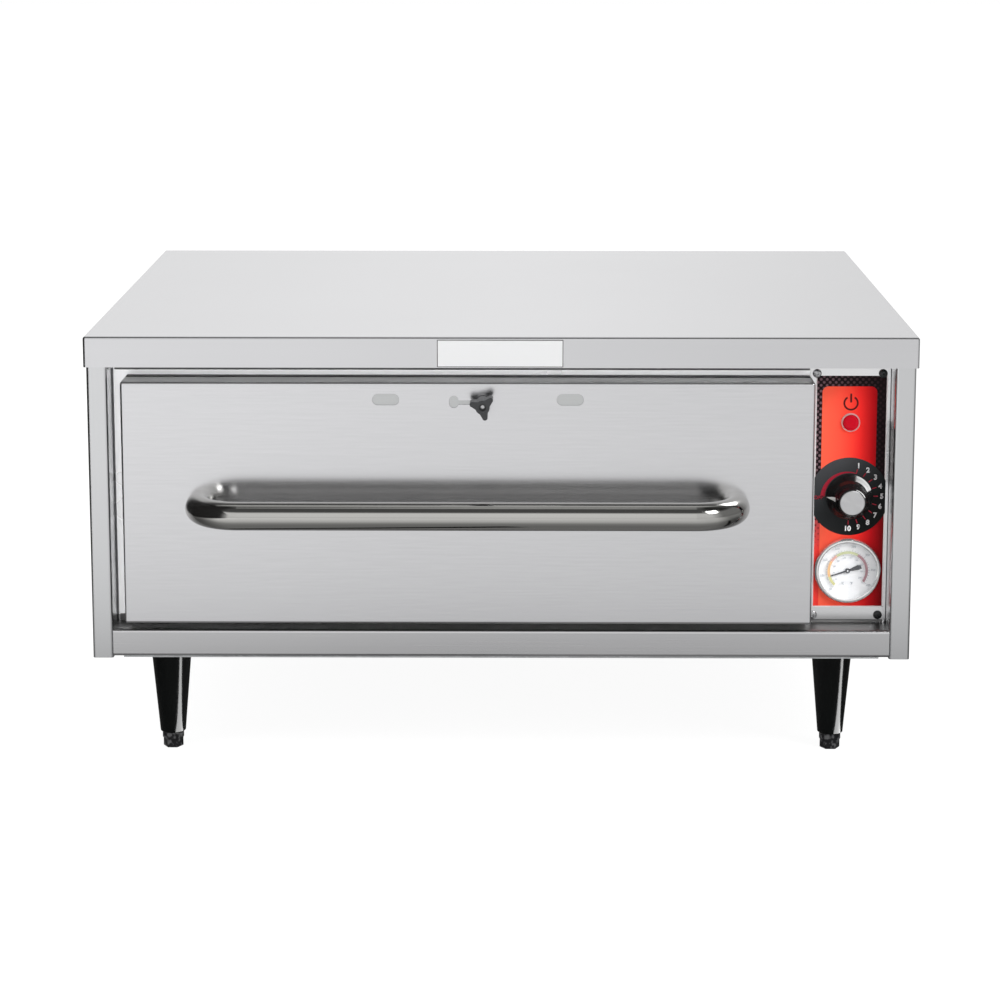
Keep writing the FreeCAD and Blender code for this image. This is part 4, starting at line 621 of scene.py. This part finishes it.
for vert in pointer.verts:
    before_knob = Vector((vert.co.x, -1.0, vert.co.z))
    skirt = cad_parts["thermostat_knob"].ray_cast(before_knob, Vector((0, 1, 0)))[1]
    vert.co.y = skirt.y - pointer_proud
thicken(pointer, pointer_thickness)
finish_piece("knob_pointer_wedge", pointer, paper_white, "thermostat_dial", "white_dial")


# The power button is a red lens in a chrome bezel, with the usual power symbol printed above it.
satin_chrome, tree, shader, place = surface("satin_chrome", (0.92, 0.92, 0.92), 0.15, metallic=0.55)
scuffed(tree, shader, place, 300, 0.12, 0.19)
dress(satin_chrome, "switch_bezel")
lens_red, tree, shader, place = surface("lens_red", (0.50, 0.001, 0.012), 0.2, coat=0.05, gloss=0.08)
shader.inputs["Subsurface Weight"].default_value = 0.2
shader.inputs["Subsurface Scale"].default_value = 2 * mm
pebbled(tree, shader, place, 400, 0.05, 0.1 * mm)
dress(lens_red, "power_button")
button_low, button_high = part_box("power_button")
symbol_centre = ((button_low.x + button_high.x) / 2, 0, 334.7 * mm)
symbol_inner, symbol_outer, symbol_start, symbol_end = 5.3 * mm, 6.9 * mm, 32, 328
stroke_inner, stroke_outer, stroke_width = 0.6 * mm, 8.8 * mm, 1.7 * mm
symbol_front = film_low.y - 2.2 * layer
symbol_ink = surface("print_symbol_brown", (0.07, 0.010, 0.010), 0.3, gloss=0.05)[0]
symbol = bmesh.new()
ring(symbol, symbol_centre, symbol_inner, symbol_outer, symbol_start, symbol_end, symbol_front)
bar_at(symbol, symbol_centre, 0, stroke_inner, stroke_outer, stroke_width, symbol_front)
thicken(symbol, layer)
finish_piece("power_symbol", symbol, symbol_ink, "cabinet", "printed_film")


# The dial thermometer has a chromed bezel, a flat glass and a white enamelled dial.
# Coloured bands and plain numbers are printed on the dial: Fahrenheit outside, Celsius inside.
gauge_chrome, tree, shader, place = surface("gauge_chrome", (0.84, 0.84, 0.84), 0.12, metallic=0.75)
scuffed(tree, shader, place, 300, 0.09, 0.16)
dress(gauge_chrome, "thermometer_bezel")
enamel, tree, shader, place = surface("enamel_white", (0.92, 0.93, 0.95), 0.28, coat=0.1)
pebbled(tree, shader, place, 120, 0.04, 0.1 * mm)
dress(enamel, "thermometer_dial")
clear_glass, tree, shader, place = surface("clear_glass", (1, 1, 1), 0.02)
shader.inputs["Transmission Weight"].default_value = 1.0
shader.inputs["IOR"].default_value = 1.45
dress(clear_glass, "thermometer_lens")
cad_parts["thermometer_lens"].visible_shadow = False
needle_paint = surface("needle_paint", (0.045, 0.05, 0.06), 0.4, gloss=0.2)[0]
dress(needle_paint, "thermometer_needle")
gauge_low, gauge_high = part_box("thermometer_dial")
gauge_centre = (gauge_low + gauge_high) / 2
gauge_front = gauge_low.y - 0.05 * mm
scale_start, scale_turn = 222.0, 263.0
rest_bearing = 252.0
scale_low, scale_span = 50.0, 350.0
band_inner, band_outer, mark_gap = 16.3 * mm, 18.6 * mm, 0.3 * mm
long_mark, short_mark, celsius_mark, mark_width = 2.0 * mm, 1.1 * mm, 1.0 * mm, 0.28 * mm
fahrenheit_radius, fahrenheit_height = 23.4 * mm, 2.1 * mm
celsius_radius, celsius_height = 13.0 * mm, 1.7 * mm
unit_aside, unit_below, unit_height = 4.2 * mm, 11.5 * mm, 2.2 * mm
tail_inner, tail_outer, tail_width, tail_end = 4.0 * mm, 13.0 * mm, 2.6 * mm, 4.0 * mm
dial_print = 0.04 * mm
bands = [("olive", 50, 90, (0.62, 0.60, 0.25)), ("orange", 90, 155, (0.85, 0.50, 0.22)),
         ("salmon", 155, 185, (0.72, 0.38, 0.33)), ("green", 185, 275, (0.52, 0.55, 0.30)),
         ("maroon", 275, 400, (0.36, 0.17, 0.20))]


def bearing_of(degrees_fahrenheit):
    return scale_start + scale_turn * (degrees_fahrenheit - scale_low) / scale_span


for colour_name, first, last, tone in bands:
    band = bmesh.new()
    ring(band, gauge_centre, band_inner, band_outer, bearing_of(first), bearing_of(last), gauge_front)
    thicken(band, dial_print)
    ink = surface("gauge_ink_" + colour_name, tone, 0.35)[0]
    finish_piece("thermometer_band_" + colour_name, band, ink, "cabinet", "white_dial")
grey_ink = surface("gauge_ink_grey", (0.22, 0.25, 0.30), 0.4)[0]
scale = bmesh.new()
for mark in range(36):
    heat = scale_low + 10 * mark
    bearing = bearing_of(heat)
    numbered = mark % 5 == 0
    start = band_outer + mark_gap
    end = start + (long_mark if numbered else short_mark)
    bar_at(scale, gauge_centre, bearing, start, end, mark_width, gauge_front)
    if numbered:
        middle = around(gauge_centre, bearing, fahrenheit_radius)
        lettering(scale, str(int(heat)), middle, fahrenheit_height, gauge_front)
for celsius in range(20, 201, 20):
    bearing = bearing_of(celsius * 1.8 + 32)
    end = band_inner - mark_gap
    bar_at(scale, gauge_centre, bearing, end - celsius_mark, end, 0.25 * mm, gauge_front)
    lettering(scale, str(celsius), around(gauge_centre, bearing, celsius_radius), celsius_height, gauge_front)
for text, side in (("C", -1), ("F", 1)):
    middle = (gauge_centre.x + side * unit_aside, gauge_centre.z - unit_below)
    lettering(scale, text, middle, unit_height, gauge_front, 0.1 * mm)
    ring(scale, (middle[0] - 1.5 * mm, 0, middle[1] + 0.9 * mm), 0.22 * mm, 0.42 * mm, 0, 360, gauge_front)
thicken(scale, dial_print)
finish_piece("thermometer_scale", scale, grey_ink, "cabinet", "white_dial")
tail_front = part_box("thermometer_needle")[0].y - 0.02 * mm
tail = bmesh.new()
bar_at(tail, gauge_centre, rest_bearing - 180, tail_inner, tail_outer, tail_width, tail_front, tail_end)
thicken(tail, 0.1 * mm)
finish_piece("needle_tail_paint", tail, needle_paint, "needle", "needle_black")


# Four tapered legs of cast iron stand in the base pan's corners and are dipped in gloss enamel.
# Each ends in a screwed levelling foot with a ring and a hexagon for the spanner.
enamel_black, tree, shader, place = surface("enamel_black", (0.002, 0.0024, 0.0024), 0.14, gloss=0.18)
pebbled(tree, shader, place, 70, 0.03, 0.2 * mm)
dress(enamel_black, "legs")
foot_paint, tree, shader, place = surface("foot_paint", (0.03, 0.03, 0.032), 0.35, metallic=0.6)
worn = between(tree, noise(tree, place, (260, 260, 260), detail=5.0), 0, 1, 0.5, 0.62)
tint(tree, shader, shaded_by(tree, worn, (0.02, 0.02, 0.022), (0.16, 0.16, 0.165)))
dress(foot_paint, "foot_front_left", "foot_front_right", "foot_rear_left", "foot_rear_right")


# Nuts, clips, bolts and slides are zinc plated steel, with a faint blue bloom in the plating.
# The slides are folded from strip and riveted, and the bolts hold the handle from inside the drawer front.
zinc, tree, shader, place = surface("zinc_plating", (0.55, 0.57, 0.60), 0.30, metallic=1.0)
bloom = noise(tree, place, (25, 25, 25), detail=4.0)
tint(tree, shader, shaded_by(tree, bloom, (0.44, 0.47, 0.52), (0.66, 0.66, 0.64)))
scuffed(tree, shader, place, 500, 0.22, 0.38)
dress(zinc, "leg_nuts", "handle_bolts", "sensor_clips", "cabinet_slides", "middle_slides", "drawer_slides",
      "thermostat_spindle")


# The drawer front is a folded stainless shell filled with wool and closed by an inner liner.
# Its face is brushed across, with a few longer strokes that catch the light.
def drawer_steel():
    material, tree, shader, place = surface("brushed_drawer", steel_tone, 0.20, metallic=1.0)
    fine = noise(tree, place, (8, 1400, 1400), detail=4.0)
    strokes = noise(tree, place, (32, 620, 620), detail=2.0)
    clouds = noise(tree, place, (3.2, 3.2, 3.2), detail=1.0)
    added = combined(tree, "ADD", fine, strokes)
    shade = combined(tree, "ADD", between(tree, added, 0, 1, 0.72, 1.30), clouds)
    toned = shaded_by(tree, between(tree, shade, 0, 1, 0.5, 1.5), (0.685, 0.685, 0.70), (0.72, 0.72, 0.735))
    tint(tree, shader, toned)
    tree.links.new(between(tree, added, 0.185, 0.215, 0.7, 1.3), shader.inputs["Roughness"])
    dented(tree, shader, added, 0.03, 0.015 * mm)
    # The drawer front's four folds get a painted shade.
    dull_folds(material, "drawer_front_shell", (("X", 0), ("X", 1), ("Z", 0), ("Z", 1)), 0.42)
    return material


dress(drawer_steel(), "drawer_front_shell")
liner_steel = brushed_steel("brushed_drawer_liner", (0.60, 0.60, 0.61), 0.30, grain_across, 0.04)
dress(liner_steel, "drawer_front_liner")


# A thin black strip along the rear of the drawer front's top fold is painted shadow.
# It stands for the dark gap that shows in front of the face frame.
gap_shadow_depth, gap_shadow_height, gap_shadow_end = 10.0 * mm, 0.4 * mm, 2 * mm
gap_shadow_black, tree, shader, place = surface("painted_gap_shadow", (0.012, 0.012, 0.012), 0.5, gloss=0.2)
pebbled(tree, shader, place, 400, 0.1, 0.05 * mm)
shell_low, shell_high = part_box("drawer_front_shell")
gap_shadow_strip = bmesh.new()
upright_sheet(gap_shadow_strip, shell_low.x + gap_shadow_end, shell_high.x - gap_shadow_end, shell_high.z,
              shell_high.z + gap_shadow_height, shell_high.y - gap_shadow_depth)
thicken(gap_shadow_strip, gap_shadow_depth)
finish_piece("drawer_top_painted_shadow", gap_shadow_strip, gap_shadow_black, "drawer", "brushed_stainless")


# The handle is one length of steel tube with both ends bent back to the drawer front.
# It is polished along its length, so its reflections stay narrow and crisp, and it is warmer than the sheet.
handle_steel = brushed_steel("polished_tube", (0.50, 0.495, 0.475), 0.11, (3, 700, 700), 0.03)
dress(handle_steel, "drawer_handle")


# The vent shutter is a steel strip behind the drawer face's slots, with slots of its own.
# A stud and a moulded knob with three lobes clamp it where the cook sets it.
dress(brushed_steel("brushed_shutter", (0.60, 0.61, 0.61), 0.34, grain_across, 0.03), "vent_shutter")
dress(screw_chrome, "vent_stud")
phenolic_matt, tree, shader, place = surface("phenolic_matt", (0.022, 0.023, 0.025), 0.38)
pebbled(tree, shader, place, 900, 0.15, 0.05 * mm)
dress(phenolic_matt, "vent_knob", "thermostat_body", "switch_body", "cable_gland")


# The drawer's body is a folded frame of two angles and two cross bars.
# It carries a drawn stainless pan by its turned rim, and the pan lifts out.
dress(brushed_steel("brushed_drawer_frame", (0.42, 0.42, 0.425), 0.34, (900, 3, 900), 0.05), "drawer_frame")
pan_steel, tree, shader, place = surface("drawn_pan_steel", (0.66, 0.67, 0.68), 0.24, metallic=1.0)
tree.links.new(between(tree, noise(tree, place, (12, 12, 60)), 0.18, 0.30), shader.inputs["Roughness"])
pebbled(tree, shader, place, 45, 0.05, 0.4 * mm)
dress(pan_steel, "food_pan")


# The drawer rolls on moulded nylon rollers in three-part steel slides.
# Each roller turns on a riveted pin and has rounded rims.
nylon, tree, shader, place = surface("moulded_nylon", (0.80, 0.78, 0.72), 0.42)
shader.inputs["Subsurface Weight"].default_value = 0.15
shader.inputs["Subsurface Scale"].default_value = 2 * mm
pebbled(tree, shader, place, 300, 0.08, 0.05 * mm)
dress(nylon, "front_cabinet_rollers", "rear_middle_rollers", "front_middle_rollers", "rear_drawer_rollers")


# A sheathed heating element lies on the cavity floor; copper bulbs sense the heat.
# The control side holds the ceramic terminal block and the sleeved leads.
sheath, tree, shader, place = surface("element_sheath", (0.13, 0.10, 0.09), 0.5, metallic=0.7)
scale_stains = shaded_by(tree, noise(tree, place, (30, 30, 30)), (0.09, 0.07, 0.065), (0.22, 0.17, 0.14))
tint(tree, shader, scale_stains)
dress(sheath, "heating_element")
copper, tree, shader, place = surface("drawn_copper", (0.70, 0.33, 0.20), 0.3, metallic=1.0)
tarnish = shaded_by(tree, noise(tree, place, (80, 80, 80)), (0.50, 0.22, 0.13), (0.76, 0.38, 0.24))
tint(tree, shader, tarnish)
dress(copper, "sensing_bulbs")
glaze, tree, shader, place = surface("glazed_ceramic", (0.80, 0.77, 0.70), 0.22, coat=0.4)
pebbled(tree, shader, place, 150, 0.06, 0.1 * mm)
dress(glaze, "terminal_block")
sleeve, tree, shader, place = surface("silicone_sleeve", (0.30, 0.03, 0.025), 0.5)
pebbled(tree, shader, place, 700, 0.2, 0.1 * mm)
dress(sleeve, "internal_leads")
dress(brushed_steel("gauge_case", (0.40, 0.40, 0.41), 0.35, grain_across, 0.04), "thermometer_case")


# The floor is one plain pale sheet, white to the camera but for the cabinet's soft shadow.
# In reflections it falls off towards the cabinet, as it does in the shade of the softboxes.
floor_size = 30.0
fall_off_reach, fall_off_width = 3.0, 0.6
fall_off = [(0.0, 0.24), (0.14, 0.24), (0.18, 0.34), (0.215, 0.56), (0.263, 0.74), (0.334, 0.84),
            (0.436, 0.88), (0.60, 0.97), (0.74, 1.02), (0.86, 0.92), (1.0, 0.92)]
left_light, right_light, light_reach = 1.10, 0.82, 0.8
wide_from, wide_to, wide_level = 0.45, 0.85, 0.40
paint_share, white_level = 0.15, 1.10


def studio_sheet(name, placing):
    """A square metre that is put in place as a part of the studio; returns it and its paint's empty tree."""
    paint = bpy.data.materials.new(name)
    paint.use_nodes = True
    paint.node_tree.nodes.clear()
    sheet_mesh = bmesh.new()
    bmesh.ops.create_grid(sheet_mesh, x_segments=1, y_segments=1, size=0.5, matrix=placing)
    mesh = bpy.data.meshes.new(name)
    sheet_mesh.to_mesh(mesh)
    sheet_mesh.free()
    mesh.materials.append(paint)
    sheet = bpy.data.objects.new(name, mesh)
    bpy.context.scene.collection.objects.link(sheet)
    return sheet, paint.node_tree


def level_ramp(tree, factor, levels):
    return ramp(tree, factor, [(position, (level, level, level)) for position, level in levels])


def share_sideways(tree, x, y):
    """How far a direction points to the side: 0 straight ahead or back, 1 straight to a side."""
    x_squared = combined(tree, "POWER", x, 2.0)
    y_squared = combined(tree, "POWER", y, 2.0)
    return combined(tree, "DIVIDE", x_squared, combined(tree, "ADD", x_squared, y_squared))


def studio_floor(tree):
    """What reflections see: darker near the cabinet and far to the sides, brightest at the left."""
    place = wire(tree, "TexCoord").outputs["Object"]
    narrow = wire(tree, "VectorMath", {0: place, 1: (fall_off_width, 1, 1)}, operation="MULTIPLY").outputs[0]
    distance = wire(tree, "VectorMath", {0: narrow}, operation="LENGTH").outputs["Value"]
    near_far = level_ramp(tree, combined(tree, "MULTIPLY", distance, 1 / fall_off_reach), fall_off)
    parts = wire(tree, "SeparateXYZ", {"Vector": place}).outputs
    side = between(tree, parts["X"], left_light, right_light, -light_reach, light_reach)
    wide = between(tree, share_sideways(tree, parts["X"], parts["Y"]), 1.0, wide_level, wide_from, wide_to)
    return combined(tree, "MULTIPLY", near_far, combined(tree, "MULTIPLY", side, wide))


def looked_at(path):
    """1 for what the camera sees, straight or through glass."""
    straight, through_glass = path.outputs["Is Camera Ray"], path.outputs["Is Transmission Ray"]
    return combined(path.id_data, "MAXIMUM", straight, through_glass)


tree = studio_sheet("floor", Matrix.Diagonal((floor_size, floor_size, 1, 1)))[1]
path = wire(tree, "LightPath")
paint = wire(tree, "BsdfDiffuse", {"Color": (0.95, 0.95, 0.95, 1)})
white = wire(tree, "Emission", {"Color": (1, 1, 1, 1), "Strength": white_level})
shade = wire(tree, "Emission", {"Color": (1, 1, 1, 1), "Strength": studio_floor(tree)})
bright = wire(tree, "MixShader", {0: 1 - paint_share, 1: paint.outputs[0], 2: white.outputs[0]})
glossy_ray = path.outputs["Is Glossy Ray"]
mirrored = wire(tree, "MixShader", {0: glossy_ray, 1: paint.outputs[0], 2: shade.outputs[0]})
both = wire(tree, "MixShader", {0: looked_at(path), 1: mirrored.outputs[0], 2: bright.outputs[0]})
tree.links.new(both.outputs[0], wire(tree, "OutputMaterial").inputs["Surface"])


# Three white cards and a black flag stand round the cabinet for reflections only.
# A card lies in front of each front leg, and a small one hangs by the right stile for the thermostat knob.
# The flag stands at the left, soft towards the front, where the handle's left bend reflects it.
def studio_card(name, place, along, size, glow):
    """A rectangle that only reflections see, with the first of its sizes along its own X."""
    card, tree = studio_sheet(name, Matrix.Translation(place) @ along @ Matrix.Diagonal((*size, 1, 1)))
    light = wire(tree, "Emission", {"Color": (1, 1, 1, 1), "Strength": glow})
    tree.links.new(light.outputs[0], wire(tree, "OutputMaterial").inputs["Surface"])
    card.visible_camera = card.visible_diffuse = card.visible_shadow = card.visible_transmission = False
    return card


def link_light(source, node, state="INCLUDE"):
    """Makes a card or a lamp work on one node alone, or with EXCLUDE on everything but that node."""
    receivers = bpy.data.collections.new(source.name + "_receivers")
    receivers.objects.link(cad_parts[node])
    receivers.collection_objects[0].light_linking.link_state = state
    source.light_linking.receiver_collection = receivers


leg_card_size, leg_card_glow = (0.34, 0.05), 26.0
leg_card_gap, leg_card_height = 0.03, 1 * mm
leg_card_turn = Matrix.Rotation(math.radians(-29), 4, "Z")
for side in ("left", "right"):
    foot_low, foot_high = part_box("foot_front_" + side)
    foot_middle = (foot_low + foot_high) / 2
    foot_middle.z = leg_card_height
    start = foot_middle + leg_card_turn @ Vector((leg_card_gap + leg_card_size[0] / 2, 0, 0))
    card = studio_card("white_card_" + side, start, leg_card_turn, leg_card_size, leg_card_glow)
    link_light(card, "legs")
knob_card_place = (351.0 * mm, -239.0 * mm, dial_centre.z + 38 * mm)
knob_card_turn = Matrix.Rotation(math.pi / 2, 4, "Y")
knob_card_size, knob_card_glow = (0.060, 0.026), 15.0
card = studio_card("knob_card", knob_card_place, knob_card_turn, knob_card_size, knob_card_glow)
link_light(card, "thermostat_knob")
flag_left, flag_splay, flag_back, flag_front = -0.8, 0.73, 0.4, -3.4
flag_low, flag_height = 0.005, 1.5
flag_levels = [(0.0, 0.02), (0.48, 0.03), (1.0, 0.85)]
flag_run = Vector((-flag_splay, flag_front - flag_back, 0))
flag_middle = Vector((flag_left, flag_back, (flag_low + flag_height) / 2)) + flag_run / 2
flag_turn = Matrix.Rotation(math.atan2(flag_run.y, flag_run.x), 4, "Z") @ Matrix.Rotation(math.pi / 2, 4, "X")
flag_size = (flag_run.length, flag_height - flag_low)
tree = studio_card("black_flag", flag_middle, flag_turn, flag_size, 0.0).active_material.node_tree
frontward = share_along(tree, wire(tree, "TexCoord").outputs["Object"], "Y", flag_back, flag_front)
tree.links.new(level_ramp(tree, frontward, flag_levels), tree.nodes["Emission"].inputs["Strength"])


# The world is white where the camera looks.
# In reflections it is a white wall up to a height, unlit steep up and at both sides, and dim above the back.
ambient = 0.75
rising_levels = [(0.12, 0.90), (0.165, 1.0), (0.58, 1.0), (0.72, 0.10), (0.97, 0.10), (0.985, 0.50)]
back_from, back_to, back_level = 0.0, 0.25, 0.62
across_levels = [(0.0, 0.93), (0.5, 1.0), (1.0, 0.84)]
across_reach = 0.16
side_from, side_to, side_level = 0.33, 0.75, 0.30
world = bpy.data.worlds.new("studio")
bpy.context.scene.world = world
world.use_nodes = True
tree = world.node_tree
tree.nodes.clear()
parts = wire(tree, "SeparateXYZ", {"Vector": wire(tree, "TexCoord").outputs["Generated"]}).outputs
front_rising = level_ramp(tree, parts["Z"], rising_levels)
back_light = between(tree, parts["Y"], 0.0, back_level, back_from, back_to)
rising = combined(tree, "MAXIMUM", front_rising, back_light)
slanted = level_ramp(tree, between(tree, parts["X"], 0, 1, -across_reach, across_reach), across_levels)
sides = between(tree, share_sideways(tree, parts["X"], parts["Y"]), 1.0, side_level, side_from, side_to)
mirrored = combined(tree, "MULTIPLY", rising, combined(tree, "MULTIPLY", slanted, sides))
path = wire(tree, "LightPath")
lit = wire(tree, "Mix", {"Factor": path.outputs["Is Glossy Ray"], 2: ambient, 3: mirrored}, data_type="FLOAT")
level = wire(tree, "Mix", {"Factor": looked_at(path), 2: lit.outputs[0], 3: 1.0}, data_type="FLOAT")
sky = wire(tree, "Background", {"Color": (1, 1, 1, 1), "Strength": level.outputs[0]})
tree.links.new(sky.outputs[0], wire(tree, "OutputWorld").inputs["Surface"])


# Soft lamps light the cabinet from above and from both sides; only the right key shows in reflections.
# The key leaves out the top, whose mirror image of it would burn out from behind. One lamp without shadows
# lights the face frame alone, which lies in the shade of the drawer front.
def softbox(name, place, width, height, power, aim):
    """A soft lamp, turned to the point that it aims at; sizes are in metres and power in watts."""
    lamp = bpy.data.lights.new(name, "AREA")
    lamp.shape = "RECTANGLE"
    lamp.size, lamp.size_y = width, height
    lamp.energy = power
    made = bpy.data.objects.new(name, lamp)
    made.location = place
    made.rotation_euler = (Vector(aim) - Vector(place)).to_track_quat("-Z", "Y").to_euler()
    made.visible_glossy = False
    bpy.context.scene.collection.objects.link(made)
    return made


cabinet_middle = (cad_box[0] + cad_box[1]) / 2
softbox("overhead_softbox", (0.0, -0.4, 2.6), 2.4, 1.6, 42, cabinet_middle)
softbox("right_softbox", (1.9, -1.5, 1.5), 0.8, 1.4, 20, cabinet_middle)
softbox("left_softbox", (-1.9, -1.3, 1.6), 0.8, 1.4, 15, cabinet_middle)
right_key = softbox("right_key", (1.41, -1.55, 1.94), 0.8, 0.8, 18, dial_centre)
right_key.visible_glossy = True
link_light(right_key, "top_cap", "EXCLUDE")
frame_softbox = softbox("frame_softbox", (0.0, -2.3, 0.55), 1.0, 0.4, 27, cabinet_middle)
frame_softbox.data.use_shadow = False
link_light(frame_softbox, "face_frame")


# The camera stands in front, a little right of the middle and above the top, and looks slightly down.
# The small shift moves the cabinet to the photograph's place in the frame.
camera_distance, camera_rise, camera_aside = 2.4148, 0.4064, 0.0191
camera_tilt, camera_yaw = math.radians(9.82), math.radians(0.47)
focal_share = 2.731
camera_shift = -0.15
camera_data = bpy.data.cameras.new("camera")
camera_data.sensor_width = 36.0
camera_data.lens = 36.0 * focal_share
camera_data.shift_y = camera_shift
camera = bpy.data.objects.new("camera", camera_data)
camera.location = (camera_aside, cap_low.y - camera_distance, cap_high.z + camera_rise)
camera.rotation_euler = (math.pi / 2 - camera_tilt, 0, camera_yaw)
bpy.context.scene.collection.objects.link(camera)
bpy.context.scene.camera = camera
bpy.context.scene.view_settings.view_transform = "Standard"
